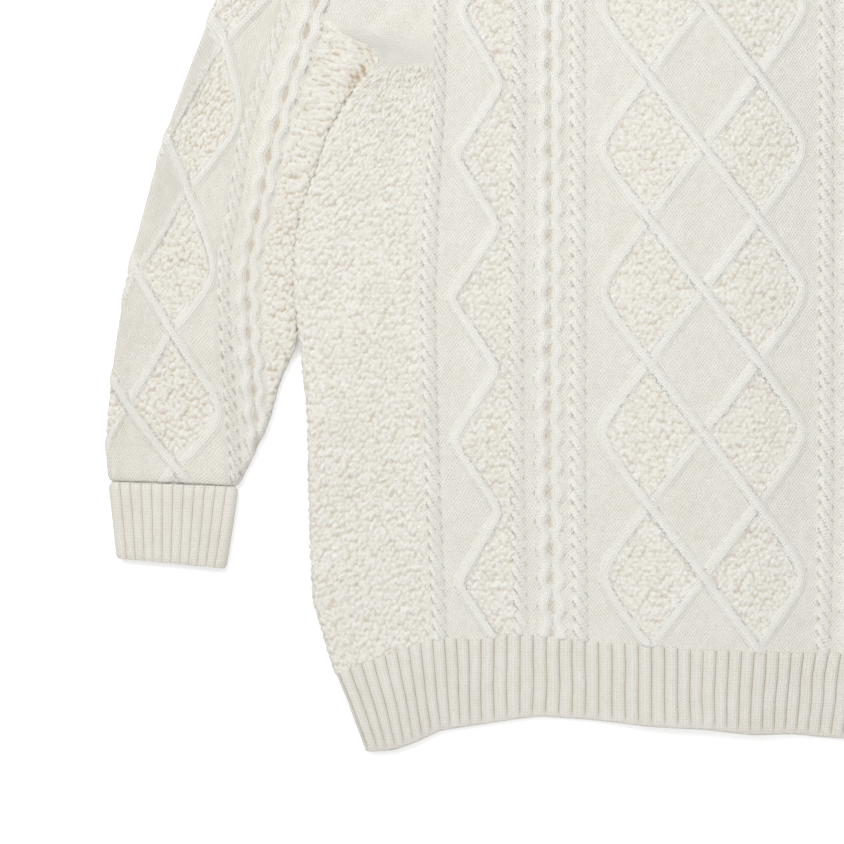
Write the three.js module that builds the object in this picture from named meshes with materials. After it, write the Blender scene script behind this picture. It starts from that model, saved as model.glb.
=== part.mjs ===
// A cable knit cardigan, buttoned and laid face down, so that its back is on top.
//
// Millimetres, +Z up. +Y runs from the hem to the collar and X runs across the garment.
// The wearer's left is at -X. The cloth rests on z = 0.
// Every knitted piece is a wall of even thickness between an outer and an inner face,
// 0.3 mm from the pieces that it is sewn to.

import * as THREE from 'three';

// ---------------------------------------------------------------- driving dimensions

const WALL = 3;                 // thickness of the knitted cloth
const SEAM_GAP = 0.3;           // between two pieces that are sewn together
const EDGE_GAP = 0.4;           // between a sleeve and the body beside it
const LAYER_GAP = 0.5;          // between the back and the fronts that it lies on

const FOLD_RADIUS = 4.35;       // outer radius where the cloth turns over at a side
const FOLD_STEPS = 3;           // flats in a quarter turn of the cloth
const INNER_RADIUS = FOLD_RADIUS - WALL;
const FOLDED_HEIGHT = 2 * FOLD_RADIUS + SEAM_GAP;

const RIB_TOP = 65;             // side height where the hem rib ends and the cables start
const UNDERARM = 462;           // side height of the underarm
const SHOULDER_END = 690;       // side height of the shoulder's outer end
const NECK_HALF = 85;           // half the width of the neck
const NECK_POINT = 721;         // height where the shoulder meets the neck
const BACK_NECK_DROP = 13;      // fall of the back neckline at its middle
const FRONT_NECK_DROP = 76;     // fall of the front neckline at the bands
const NECKBAND_DEPTH = 25;

const BAND_HALF = 15;           // half the width of the front bands, which overlap fully
const BAND_TOP = NECK_POINT - FRONT_NECK_DROP + NECKBAND_DEPTH;
const BUTTON_COUNT = 6;
const BUTTON_RADIUS = 10;
const BUTTON_THICKNESS = 2.8;
const BUTTON_BEVEL = 0.6;
const BUTTON_HOLE_RADIUS = 1.3;
const BUTTON_HOLE_SIDES = 6;
const BUTTON_HOLE_OFFSET = 2.4;
const FIRST_BUTTON = 38;        // height of the lowest button
const LAST_BUTTON = 652;        // height of the highest button

const BAND_SLOPE_END = 85;      // distance from the middle where the bands' lift has faded
const PUFF_WIDTH = 45;          // width of the fuller strip along each folded side
const SLEEVE_SINK = 2;          // dip of a sleeve's top between its two folded edges
const NO_SIDE_FOLD = 1000;      // a side edge too far off to puff the cloth

const BUTTONHOLE_BAND_REST = BUTTON_THICKNESS + SEAM_GAP;
const BUTTON_BAND_REST = BUTTONHOLE_BAND_REST + WALL + SEAM_GAP;
const BACK_REST = WALL + LAYER_GAP;
const BACK_LIFT = BUTTON_BAND_REST + LAYER_GAP;

// Body sections: height at the side, half the width there, and how far the cloth
// turns over at the side (1 at a folded side seam, 0 at the cut edge of an armhole).
const bodySections = [
  { y: 65, half: 253.5, fold: 1 },
  { y: 101, half: 261, fold: 1 },
  { y: 140, half: 263.3, fold: 1 },
  { y: 225, half: 264.5, fold: 1 },
  { y: 271, half: 270, fold: 1 },
  { y: 305, half: 274.2, fold: 1 },
  { y: 334, half: 274, fold: 1 },
  { y: 362, half: 269.6, fold: 1 },
  { y: 388, half: 259.5, fold: 1 },
  { y: 412, half: 251.7, fold: 1 },
  { y: 430, half: 241.5, fold: 1 },
  { y: 446, half: 231, fold: 1 },
  { y: UNDERARM, half: 218, fold: 0.5 },
  { y: 470, half: 224.5, fold: 0 },
  { y: 476, half: 235.3, fold: 0 },
  { y: 482, half: 247, fold: 0 },
  { y: 490, half: 252.8, fold: 0 },
  { y: 503, half: 254, fold: 0 },
  { y: 560, half: 254.2, fold: 0 },
  { y: 656, half: 254.5, fold: 0 },
  { y: SHOULDER_END - FOLD_RADIUS, half: 254.5, fold: 0 },
];

// Hem rib sections: share of the rib's depth, from the hem up, and half the width there.
const ribSections = [
  { share: 0, half: 224 },
  { share: 0.35, half: 235 },
  { share: 0.7, half: 246 },
  { share: 1, half: 253.5 },
];

// The hem and the seam above its rib: place across the garment, and height at each.
const hemLine = [
  { x: -254, hem: 4, seam: 65 },
  { x: -224, hem: 2, seam: 64 },
  { x: -215, hem: 0, seam: 66 },
  { x: -202, hem: 3, seam: 70 },
  { x: -175, hem: 12, seam: 71 },
  { x: -148, hem: 17, seam: 73 },
  { x: -95, hem: 21, seam: 76 },
  { x: -42, hem: 17.5, seam: 69 },
  { x: 0, hem: 15, seam: 68 },
  { x: 38, hem: 10, seam: 68 },
  { x: 91, hem: 7, seam: 65 },
  { x: 150, hem: 5, seam: 64 },
  { x: 200, hem: 2, seam: 64 },
  { x: 224, hem: 0, seam: 64 },
  { x: 254, hem: 1, seam: 65 },
];

// Sleeve sections, from the armhole to the cuff: the outer folded edge and the inner
// folded edge, each by its distance from the middle and its height. A section without
// innerX lies beside the body's own side. The bow is the share of the armhole's curve
// that the section keeps.
const sleeveSections = [
  { outerX: 254.9, outerY: 690, innerX: 218.6, innerY: UNDERARM, bow: 1 },
  { outerX: 279, outerY: 628, innerY: 446, bow: 0.88 },
  { outerX: 303.5, outerY: 560, innerY: 430, bow: 0.7 },
  { outerX: 325.5, outerY: 500, innerY: 412, bow: 0.5 },
  { outerX: 346, outerY: 448, innerY: 388, bow: 0.33 },
  { outerX: 362, outerY: 404, innerY: 362, bow: 0.2 },
  { outerX: 374, outerY: 360, innerY: 334, bow: 0.1 },
  { outerX: 385.3, outerY: 318, innerY: 305, bow: 0 },
  { outerX: 392, outerY: 275, innerY: 271, bow: 0 },
  { outerX: 395.5, outerY: 248, innerX: 282.5, innerY: 246, bow: 0 },
  { outerX: 398, outerY: 222, innerX: 288.5, innerY: 221, bow: 0 },
  { outerX: 399, outerY: 200, innerX: 300, innerY: 198, bow: 0 },
  { outerX: 397.5, outerY: 180.5, innerX: 309.5, innerY: 177, bow: 0 },
];

const cuffSections = [
  { outerX: 397, outerY: 180.2, innerX: 310, innerY: 176.7, bow: 0 },
  { outerX: 394.5, outerY: 158, innerX: 313.5, innerY: 154, bow: 0 },
  { outerX: 392.5, outerY: 140, innerX: 316.5, innerY: 135, bow: 0 },
  { outerX: 391.5, outerY: 129, innerX: 318.5, innerY: 122, bow: 0 },
];

// Neckline places on each side of the middle, and the lean of the neckband at each:
// degrees that the band turns inwards from upright, on the front and on the back.
const neckPlaces = [
  { x: BAND_HALF + SEAM_GAP, frontLean: 0, backLean: 1 },
  { x: 36, frontLean: 15, backLean: 3 },
  { x: 58, frontLean: 32, backLean: 7 },
  { x: 74, frontLean: 38, backLean: 14 },
  { x: NECK_HALF, frontLean: 27, backLean: 27 },
];

// Columns between the neck's edge and the side fold, as shares of that width.
const OUTER_SHARES = [0.3, 0.6, 0.82, 1];

// ---------------------------------------------------------------- materials

function knitMaterial(color) {
  return new THREE.MeshStandardMaterial({ color, roughness: 0.95, metalness: 0 });
}

const creamCable = knitMaterial(0xe8e5da);
const creamRib = knitMaterial(0xe2dfd3);
const buttonMaterial = new THREE.MeshStandardMaterial({
  color: 0xcfc3a8,
  roughness: 0.35,
  metalness: 0,
});

// ---------------------------------------------------------------- small mathematics

function smoothstep(from, to, value) {
  const share = THREE.MathUtils.clamp((value - from) / (to - from), 0, 1);
  return share * share * (3 - 2 * share);
}

// The value of one column of a table at a given key, on straight lines between its rows.
function lookUp(table, keyName, valueName, key) {
  if (key <= table[0][keyName]) {
    return table[0][valueName];
  }
  for (let row = 1; row < table.length; row += 1) {
    const before = table[row - 1];
    const after = table[row];
    if (key <= after[keyName]) {
      const share = (key - before[keyName]) / (after[keyName] - before[keyName]);
      return THREE.MathUtils.lerp(before[valueName], after[valueName], share);
    }
  }
  return table[table.length - 1][valueName];
}

// One closed solid between the outer and inner faces of a grid of cloth points.
// A wrapped grid closes on itself round each row, as a tube does.
function clothSolid(rows, wrapped = false) {
  const positions = [];
  const columnCount = rows[0].length;
  const rowCount = rows.length;
  for (const row of rows) {
    for (const point of row) {
      positions.push(...point.outer, ...point.inner);
    }
  }
  const outer = (row, column) => 2 * (row * columnCount + (column % columnCount));
  const inner = (row, column) => outer(row, column) + 1;
  const index = [];
  const quad = (a, b, c, d) => index.push(a, b, c, a, c, d);
  const spans = wrapped ? columnCount : columnCount - 1;
  for (let row = 0; row < rowCount - 1; row += 1) {
    for (let column = 0; column < spans; column += 1) {
      const next = column + 1;
      quad(outer(row, column), outer(row, next), outer(row + 1, next), outer(row + 1, column));
      quad(inner(row, column), inner(row + 1, column), inner(row + 1, next), inner(row, next));
    }
    if (!wrapped) {
      const last = columnCount - 1;
      quad(outer(row, 0), outer(row + 1, 0), inner(row + 1, 0), inner(row, 0));
      quad(outer(row, last), inner(row, last), inner(row + 1, last), outer(row + 1, last));
    }
  }
  for (let column = 0; column < spans; column += 1) {
    const next = column + 1;
    const top = rowCount - 1;
    quad(outer(0, column), inner(0, column), inner(0, next), outer(0, next));
    quad(outer(top, column), outer(top, next), inner(top, next), inner(top, column));
  }
  if (signedVolume(positions, index) < 0) {
    index.reverse();
  }
  const geometry = new THREE.BufferGeometry();
  geometry.setAttribute('position', new THREE.Float32BufferAttribute(positions, 3));
  geometry.setIndex(index);
  geometry.computeVertexNormals();
  return geometry;
}

function signedVolume(positions, index) {
  const corner = (place) => new THREE.Vector3().fromArray(positions, 3 * index[place]);
  let volume = 0;
  for (let place = 0; place < index.length; place += 3) {
    volume += corner(place).dot(corner(place + 1).cross(corner(place + 2))) / 6;
  }
  return volume;
}

// Where the cloth has got to at one step of a fold: how far out, and how far it has
// dropped, for a face at the given radius. With no fold it runs on flat.
function foldStep(step, fold, radius) {
  const share = step / FOLD_STEPS;
  const angle = share * Math.PI / 2;
  return {
    out: fold * radius * Math.sin(angle) + (1 - fold) * FOLD_RADIUS * share,
    drop: fold * radius * (1 - Math.cos(angle)),
  };
}

// ---------------------------------------------------------------- the body's outline

function backNeck(x) {
  return NECK_POINT - BACK_NECK_DROP * (1 - (x / NECK_HALF) ** 2);
}

function frontNeck(x) {
  const share = Math.min(Math.abs(x) / NECK_HALF, 1);
  return NECK_POINT - FRONT_NECK_DROP * Math.sqrt(1 - share * share);
}

// Height of a panel's top edge: the neckline in the middle, the shoulder outside it.
function topEdge(x, neckline) {
  const distance = Math.abs(x);
  if (distance < NECK_HALF) {
    return neckline(x);
  }
  const armhole = bodySections[bodySections.length - 1].half;
  const share = (distance - NECK_HALF) / (armhole - NECK_HALF);
  return THREE.MathUtils.lerp(NECK_POINT, SHOULDER_END, Math.min(share, 1));
}

// Height of a point of a panel: its height at the side, moved by the seam below it and
// by the shoulder or neckline above it.
function panelHeight(x, sideHeight, neckline) {
  const seam = lookUp(hemLine, 'x', 'seam', x) - RIB_TOP;
  const rise = topEdge(x, neckline) - SHOULDER_END;
  const nearSeam = 1 - smoothstep(RIB_TOP, 260, sideHeight);
  const nearTop = smoothstep(430, SHOULDER_END - FOLD_RADIUS, sideHeight);
  return sideHeight + seam * nearSeam + rise * nearTop;
}

// ---------------------------------------------------------------- heights of the layers

function bandRise(x) {
  return 1 - smoothstep(BAND_HALF + SEAM_GAP, BAND_SLOPE_END, Math.abs(x));
}

// The back's underside: it lies on the fronts, passes over the bands and stands fuller
// towards the folded sides and shoulders.
function backUnderside(x, y, flatEdge) {
  const fullHeight = FOLDED_HEIGHT - WALL - BACK_REST;
  const side = smoothstep(flatEdge - PUFF_WIDTH, flatEdge, Math.abs(x));
  const shoulder = topEdge(x, backNeck) - FOLD_RADIUS;
  const top = smoothstep(shoulder - PUFF_WIDTH, shoulder, y);
  const puff = 1 - (1 - side) * (1 - top);
  const overBands = bandRise(x) * (1 - smoothstep(BAND_TOP + 2, BAND_TOP + 36, y));
  return BACK_REST + fullHeight * puff + BACK_LIFT * overBands * (1 - top * 0.5);
}

function frontUnderside(x) {
  const rest = x < 0 ? BUTTONHOLE_BAND_REST : BUTTON_BAND_REST;
  return rest * bandRise(x);
}

// ---------------------------------------------------------------- back and fronts

// Columns of a panel on one side of the middle: flat ones first, then the fold's steps.
function panelColumns(flatEdge, firstPlaces) {
  const columns = firstPlaces.map((x) => ({ x, step: 0 }));
  for (const share of OUTER_SHARES) {
    columns.push({ x: THREE.MathUtils.lerp(NECK_HALF, flatEdge, share), step: 0 });
  }
  for (let step = 1; step <= FOLD_STEPS; step += 1) {
    columns.push({ x: flatEdge, step });
  }
  return columns;
}

// One point of the cloth of a panel. The back faces up and the fronts face down.
function panelPoint(column, side, row, part) {
  const sideEdge = row.half - FOLD_RADIUS;
  const x = side * column.x;
  const y = part.height(x, row);
  const topFold = Math.abs(x) >= NECK_HALF ? 1 : 0;
  const under = part.underside(x, y, sideEdge);
  const point = {};
  for (const [face, radius] of [['outer', FOLD_RADIUS], ['inner', INNER_RADIUS]]) {
    const sideTurn = foldStep(column.step, row.fold, radius);
    const topTurn = foldStep(row.topStep, topFold, radius);
    const drop = sideTurn.drop + topTurn.drop;
    const isTop = (face === 'outer') === part.facesUp;
    const level = isTop ? under + WALL : under;
    point[face] = [
      side * (column.x + sideTurn.out),
      y + topTurn.out,
      part.facesUp ? level - drop : level + drop,
    ];
  }
  return point;
}

function neckColumnPlaces() {
  return neckPlaces.map((place) => place.x);
}

// Rows of a panel up its side, with the steps of the shoulder's fold as the last rows.
function panelRows() {
  const rows = bodySections.map((section) => ({ ...section, topStep: 0 }));
  const last = rows[rows.length - 1];
  for (let step = 1; step <= FOLD_STEPS; step += 1) {
    rows.push({ ...last, topStep: step });
  }
  return rows;
}

function ribRows() {
  return ribSections.map((section) => ({ ...section, fold: 1, topStep: 0 }));
}

function panelPart(neckline, underside, facesUp) {
  const height = (x, row) => panelHeight(x, row.y, neckline);
  return { height, underside, facesUp };
}

function ribPart(underside, facesUp) {
  const height = (x, row) => {
    const hem = lookUp(hemLine, 'x', 'hem', x);
    const seam = lookUp(hemLine, 'x', 'seam', x) - SEAM_GAP;
    return THREE.MathUtils.lerp(hem, seam, row.share);
  };
  return { height, underside, facesUp };
}

// A piece across the whole back, from one side fold to the other.
function wholeWidth(rows, part) {
  return rows.map((row) => {
    const columns = panelColumns(row.half - FOLD_RADIUS, neckColumnPlaces());
    const left = columns.map((column) => panelPoint(column, -1, row, part)).reverse();
    const middle = panelPoint({ x: 0, step: 0 }, 1, row, part);
    const right = columns.map((column) => panelPoint(column, 1, row, part));
    return [...left, middle, ...right];
  });
}

// A piece across one front, from the band's edge to the side fold.
function halfWidth(rows, part, side) {
  return rows.map((row) => {
    const columns = panelColumns(row.half - FOLD_RADIUS, neckColumnPlaces());
    return columns.map((column) => panelPoint(column, side, row, part));
  });
}

// ---------------------------------------------------------------- sleeves and cuffs

function bodyHalf(y) {
  return lookUp(bodySections, 'y', 'half', y);
}

// Heights at which the armhole's edge has a corner: the sleeve's columns start there.
function armholeHeights() {
  return bodySections
    .filter((section) => section.y > UNDERARM && section.fold === 0)
    .map((section) => section.y)
    .reverse();
}

function sleeveEnds(section) {
  const innerX = section.innerX ?? bodyHalf(section.innerY) + EDGE_GAP;
  const outerEnd = new THREE.Vector2(section.outerX, section.outerY);
  const innerEnd = new THREE.Vector2(innerX, section.innerY);
  return { outerEnd, innerEnd };
}

// Places of one sleeve section across its flat part, from its outer to its inner edge.
function sleeveLine(section) {
  const armhole = sleeveEnds(sleeveSections[0]);
  const { outerEnd, innerEnd } = sleeveEnds(section);
  const places = armholeHeights().map((height) => {
    const share = (armhole.outerEnd.y - height) / (armhole.outerEnd.y - armhole.innerEnd.y);
    const chord = armhole.outerEnd.clone().lerp(armhole.innerEnd, share);
    const seam = new THREE.Vector2(bodyHalf(height) + EDGE_GAP, height - SEAM_GAP);
    const bulge = seam.sub(chord).multiplyScalar(section.bow);
    return outerEnd.clone().lerp(innerEnd, share).add(bulge);
  });
  const outerTurn = places[0].clone().sub(outerEnd).normalize();
  const innerTurn = places[places.length - 1].clone().sub(innerEnd).normalize();
  const outerFlat = outerEnd.clone().addScaledVector(outerTurn, FOLD_RADIUS);
  const innerFlat = innerEnd.clone().addScaledVector(innerTurn, FOLD_RADIUS);
  return {
    flat: [outerFlat, ...places.slice(1, -1), innerFlat],
    outerTurn,
    innerTurn,
  };
}

// One ring of a flattened tube: along the top, round the inner edge, back along the
// underside and round the outer edge. The top sinks a little between its two edges.
function tubeRing(section, side, sink) {
  const line = sleeveLine(section);
  const ring = [];
  const add = (place, turn, step, isTop) => {
    const point = {};
    for (const [face, radius] of [['outer', FOLD_RADIUS], ['inner', INNER_RADIUS]]) {
      const angle = (step / FOLD_STEPS) * Math.PI / 2;
      const reach = radius * Math.sin(angle);
      const rise = radius * Math.cos(angle);
      const centre = isTop ? FOLD_RADIUS + SEAM_GAP : FOLD_RADIUS;
      point[face] = [
        side * (place.x - turn.x * reach),
        place.y - turn.y * reach,
        isTop ? centre + rise : centre - rise,
      ];
    }
    ring.push(point);
    return point;
  };
  const lastPlace = line.flat.length - 1;
  line.flat.forEach((place, number) => {
    const point = add(place, line.innerTurn, 0, true);
    const dip = sink * Math.sin(Math.PI * number / lastPlace) ** 2;
    point.outer[2] -= dip;
    point.inner[2] -= dip;
  });
  for (let step = 1; step <= FOLD_STEPS; step += 1) {
    add(line.flat[lastPlace], line.innerTurn, step, true);
  }
  for (let step = FOLD_STEPS; step >= 1; step -= 1) {
    add(line.flat[lastPlace], line.innerTurn, step, false);
  }
  for (let number = lastPlace; number >= 0; number -= 1) {
    add(line.flat[number], line.innerTurn, 0, false);
  }
  for (let step = 1; step <= FOLD_STEPS; step += 1) {
    add(line.flat[0], line.outerTurn, step, false);
  }
  for (let step = FOLD_STEPS; step >= 1; step -= 1) {
    add(line.flat[0], line.outerTurn, step, true);
  }
  return ring;
}

function sleeveGeometry(side) {
  const rings = sleeveSections.map((section, number) => {
    const sink = SLEEVE_SINK * Math.min(number / 3, 1);
    return tubeRing(section, side, sink);
  });
  return clothSolid(rings, true);
}

function cuffGeometry(side) {
  const rings = cuffSections.map((section) => tubeRing(section, side, SLEEVE_SINK));
  return clothSolid(rings, true);
}

// ---------------------------------------------------------------- bands and neckband

function bandGeometry(rest) {
  const places = [-BAND_HALF, 0, BAND_HALF];
  const shares = [0, 0.2, 0.4, 0.6, 0.8, 1];
  const rows = shares.map((share) => places.map((x) => {
    const y = THREE.MathUtils.lerp(lookUp(hemLine, 'x', 'hem', x), BAND_TOP, share);
    return { outer: [x, y, rest], inner: [x, y, rest + WALL] };
  }));
  return clothSolid(rows);
}

// One section of the neckband: its seam edge and its free edge, each with the outer and
// inner face. The normal points out of the garment.
function neckbandSection(x, y, z, side, leanDegrees, normal) {
  const lean = THREE.MathUtils.degToRad(leanDegrees);
  const along = [-side * Math.sin(lean), Math.cos(lean)];
  return [0, NECKBAND_DEPTH].map((reach) => {
    const middle = [x + along[0] * reach, y + along[1] * reach, z];
    return {
      outer: middle.map((value, axis) => value + normal[axis] * WALL / 2),
      inner: middle.map((value, axis) => value - normal[axis] * WALL / 2),
    };
  });
}

// Half of the neckband, from the front band round the shoulder to the back's middle.
function neckbandHalf(side) {
  const sections = [];
  const clearance = SEAM_GAP + 0.05;
  for (const place of neckPlaces) {
    const x = place.x + (place === neckPlaces[0] ? SEAM_GAP : 0);
    const inset = clearance * x / NECK_HALF;
    const y = frontNeck(place.x) + clearance;
    const z = frontUnderside(side * x) + WALL / 2;
    sections.push(neckbandSection(side * (x - inset), y, z, side, place.frontLean, [0, 0, -1]));
  }
  const turnX = NECK_HALF - clearance;
  const turnY = NECK_POINT + clearance;
  const middleRadius = FOLD_RADIUS - WALL / 2;
  const lean = neckPlaces[neckPlaces.length - 1].frontLean;
  for (let step = 1; step < 2 * FOLD_STEPS; step += 1) {
    const angle = Math.PI * step / (2 * FOLD_STEPS) - Math.PI / 2;
    const x = turnX + middleRadius * Math.cos(angle);
    const z = FOLDED_HEIGHT / 2 + (middleRadius + SEAM_GAP / 2) * Math.sin(angle);
    const normal = [side * Math.cos(angle), 0, Math.sin(angle)];
    sections.push(neckbandSection(side * x, turnY, z, side, lean, normal));
  }
  for (const place of [...neckPlaces].reverse()) {
    const x = place.x;
    const y = backNeck(x) + clearance;
    const z = backUnderside(x, backNeck(x), NO_SIDE_FOLD) + WALL / 2;
    const inset = place === neckPlaces[neckPlaces.length - 1] ? clearance : 0;
    sections.push(neckbandSection(side * (x - inset), y, z, side, place.backLean, [0, 0, 1]));
  }
  return sections;
}

function neckbandGeometry() {
  const middleY = backNeck(0) + SEAM_GAP + 0.05;
  const middleZ = backUnderside(0, backNeck(0), NO_SIDE_FOLD) + WALL / 2;
  const middle = neckbandSection(0, middleY, middleZ, 1, 0, [0, 0, 1]);
  return clothSolid([...neckbandHalf(-1), middle, ...neckbandHalf(1).reverse()]);
}

// ---------------------------------------------------------------- buttons

// A six-sided hole for the sewing thread.
function threadHole(centreX, centreY) {
  const corners = [];
  for (let corner = 0; corner < BUTTON_HOLE_SIDES; corner += 1) {
    const angle = -2 * Math.PI * corner / BUTTON_HOLE_SIDES;
    const x = centreX + BUTTON_HOLE_RADIUS * Math.cos(angle);
    const y = centreY + BUTTON_HOLE_RADIUS * Math.sin(angle);
    corners.push(new THREE.Vector2(x, y));
  }
  return new THREE.Path(corners);
}

// A round sew-through button with four holes, its face down at the height zero.
function buttonGeometry() {
  const disc = new THREE.Shape();
  disc.absarc(0, 0, BUTTON_RADIUS - BUTTON_BEVEL, 0, 2 * Math.PI, false);
  for (const across of [-1, 1]) {
    for (const up of [-1, 1]) {
      disc.holes.push(threadHole(across * BUTTON_HOLE_OFFSET, up * BUTTON_HOLE_OFFSET));
    }
  }
  const geometry = new THREE.ExtrudeGeometry(disc, {
    depth: BUTTON_THICKNESS - 2 * BUTTON_BEVEL,
    curveSegments: 12,
    bevelThickness: BUTTON_BEVEL,
    bevelSize: BUTTON_BEVEL,
    bevelSegments: 1,
  });
  geometry.translate(0, 0, BUTTON_BEVEL);
  return geometry;
}

// ---------------------------------------------------------------- assembly

const cardigan = new THREE.Group();

function addPiece(name, geometry, material) {
  const mesh = new THREE.Mesh(geometry, material);
  mesh.name = name;
  cardigan.add(mesh);
  return mesh;
}

const backPanel = panelPart(backNeck, backUnderside, true);
const frontPanel = panelPart(frontNeck, frontUnderside, false);
const backRib = ribPart(backUnderside, true);
const frontRib = ribPart(frontUnderside, false);

addPiece('back', clothSolid(wholeWidth(panelRows(), backPanel)), creamCable);
addPiece('back_hem_rib', clothSolid(wholeWidth(ribRows(), backRib)), creamRib);

for (const [name, side] of [['left', -1], ['right', 1]]) {
  addPiece(`${name}_front`, clothSolid(halfWidth(panelRows(), frontPanel, side)), creamCable);
  addPiece(`${name}_hem_rib`, clothSolid(halfWidth(ribRows(), frontRib, side)), creamRib);
  addPiece(`${name}_sleeve`, sleeveGeometry(side), creamCable);
  addPiece(`${name}_cuff`, cuffGeometry(side), creamRib);
}

addPiece('neckband', neckbandGeometry(), creamRib);
addPiece('buttonhole_band', bandGeometry(BUTTONHOLE_BAND_REST), creamRib);
addPiece('button_band', bandGeometry(BUTTON_BAND_REST), creamRib);

for (let number = 0; number < BUTTON_COUNT; number += 1) {
  const share = number / (BUTTON_COUNT - 1);
  const button = addPiece(`button_${number + 1}`, buttonGeometry(), buttonMaterial);
  button.position.y = THREE.MathUtils.lerp(FIRST_BUTTON, LAST_BUTTON, share);
}

// The origin is under the middle of the whole garment, on the surface it lies on.
const box = new THREE.Box3().setFromObject(cardigan);
cardigan.position.y = -(box.min.y + box.max.y) / 2;
cardigan.position.x = -(box.min.x + box.max.x) / 2;

export default cardigan;
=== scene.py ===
import logging
import math
from dataclasses import dataclass
from enum import Enum

import bpy
import numpy as np
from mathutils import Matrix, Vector


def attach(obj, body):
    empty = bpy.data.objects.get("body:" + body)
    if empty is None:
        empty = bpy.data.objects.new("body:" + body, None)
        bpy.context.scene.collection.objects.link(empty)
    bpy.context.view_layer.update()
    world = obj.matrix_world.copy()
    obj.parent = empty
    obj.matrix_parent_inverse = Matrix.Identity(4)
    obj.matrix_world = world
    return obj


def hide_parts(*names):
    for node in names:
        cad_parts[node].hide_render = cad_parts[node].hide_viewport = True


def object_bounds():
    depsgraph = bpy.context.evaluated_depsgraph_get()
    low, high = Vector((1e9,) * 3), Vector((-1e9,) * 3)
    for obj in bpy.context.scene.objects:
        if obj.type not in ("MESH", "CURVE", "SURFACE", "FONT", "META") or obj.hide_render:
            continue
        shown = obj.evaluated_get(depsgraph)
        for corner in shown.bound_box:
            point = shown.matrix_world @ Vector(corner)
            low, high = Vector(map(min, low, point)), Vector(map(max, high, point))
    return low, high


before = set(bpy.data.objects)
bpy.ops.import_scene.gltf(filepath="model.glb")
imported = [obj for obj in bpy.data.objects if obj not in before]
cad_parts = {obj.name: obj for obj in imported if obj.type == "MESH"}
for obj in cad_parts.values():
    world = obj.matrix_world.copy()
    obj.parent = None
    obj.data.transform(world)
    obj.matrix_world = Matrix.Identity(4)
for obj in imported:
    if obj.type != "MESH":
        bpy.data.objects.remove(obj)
CAD_BOX = [[float(value) for value in corner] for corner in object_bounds()]

LOG = logging.getLogger("cardigan")

# All shapes are worked out in millimetres, with y measured up from the lowest hem corner.
# HEM_Y moves them into the frame, whose origin is under the garment's middle.
MM = 0.001
HEM_Y = CAD_BOX[0][1] / MM

# The cloth: its wall, the rounded fold at its edges and the gap at a seam.
WALL = 3.0
FOLD_RADIUS = 4.35
SEAM_GAP = 0.3
FOLDED_HEIGHT = 2 * FOLD_RADIUS + SEAM_GAP
FOLD_LENGTH = FOLD_RADIUS * math.pi / 2

# The cut: heights above the hem, and half-widths.
RIB_TOP = 65.0
UNDERARM = 462.0
SHOULDER_END = 690.0
SHOULDER_HALF = 254.5
NECK_HALF = 85.0
NECK_POINT = 721.0
BACK_NECK_DROP = 13.0
FRONT_NECK_DROP = 76.0
NECKBAND_DEPTH = 25.0
BAND_HALF = 15.0
BAND_TOP = 670.0

# How the layers lie on each other: the heights that they rest at, and how they slope off.
BUTTONHOLE_BAND_REST = 3.1
BUTTON_BAND_REST = 6.4
BACK_REST = 3.5
BACK_LIFT = BUTTON_BAND_REST + 0.5
BAND_SLOPE_END = 85.0
PUFF_WIDTH = 45.0

# The knitting's chart: its edge at the side fold, the height of one lattice repeat and a row
# of the lattice where its outer corners stand.
CHART_EDGE = 265.0
ROW_PERIOD = 95.33
LATTICE_ROW = 402.7

# Moss stitch: the width and height of a bump's place on the chequer, and a bump's radius.
MOSS_WIDTH = 3.9
MOSS_HEIGHT = 6.6
MOSS_RADIUS = 2.05

# The moss stitch's relief: the height of a bump, how far its ground sinks, below which share of a bump's
# height shade is painted into the pits, and how dark.
MOSS_RELIEF = 2.2
MOSS_SINK = 0.6
MOSS_PIT_LEVEL = 0.45
MOSS_PIT_SHADE = 0.52


# ---------------------------------------------------------------- small mathematics


def smoothstep(low: float, high: float, value: np.ndarray) -> np.ndarray:
    """Gives 0 below low and 1 above high, with a smooth cubic between them."""
    share = np.clip((value - low) / (high - low), 0.0, 1.0)
    return share * share * (3.0 - 2.0 * share)


class Curve:
    """A smooth line through a short table of places and values."""

    def __init__(self, places: list[float], values: list[float], softness: int, step: float = 1.0) -> None:
        """Samples straight lines between the table's rows, then averages them with a bell.

        Args:
            places: Increasing places.
            values: The value at each place.
            softness: Half the bell's width, in samples.
            step: Distance between samples.
        """
        self.grid = np.arange(places[0], places[-1] + step, step)
        line = np.interp(self.grid, places, values)
        bell = np.hanning(2 * softness + 3)[1:-1]
        padded = np.pad(line, softness, mode="reflect", reflect_type="odd")
        self.values = np.convolve(padded, bell / bell.sum(), mode="valid")

    def __call__(self, place: np.ndarray) -> np.ndarray:
        """Returns the smoothed value at each place."""
        return np.interp(place, self.grid, self.values)


def rounded_wave(angle: np.ndarray, sharpness: float = 0.985) -> np.ndarray:
    """A triangle wave from -1 to 1 with rounded corners: arcsin(k cos a) / arcsin(k)."""
    return np.arcsin(sharpness * np.cos(angle)) / math.asin(sharpness)


def rounded_wave_slope(angle: np.ndarray, sharpness: float = 0.985) -> np.ndarray:
    """The rate of change of rounded_wave with its angle."""
    rest = np.sqrt(1.0 - (sharpness * np.cos(angle)) ** 2)
    return -sharpness * np.sin(angle) / (rest * math.asin(sharpness))


def bead(across: np.ndarray, half: float, height: float) -> np.ndarray:
    """The section of a knitted cord: height x (1 - (across / half) squared) to the power 1.15."""
    return height * np.clip(1.0 - (across / half) ** 2, 0.0, 1.0) ** 1.15


def scramble(i: np.ndarray, j: np.ndarray, seed: float = 0.0) -> np.ndarray:
    """A random value from 0 to 1 for each pair of whole numbers: the fraction of a large sine."""
    large = np.sin(i * 12.9898 + j * 78.233 + seed * 37.719) * 43758.5453
    return large - np.floor(large)


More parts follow.
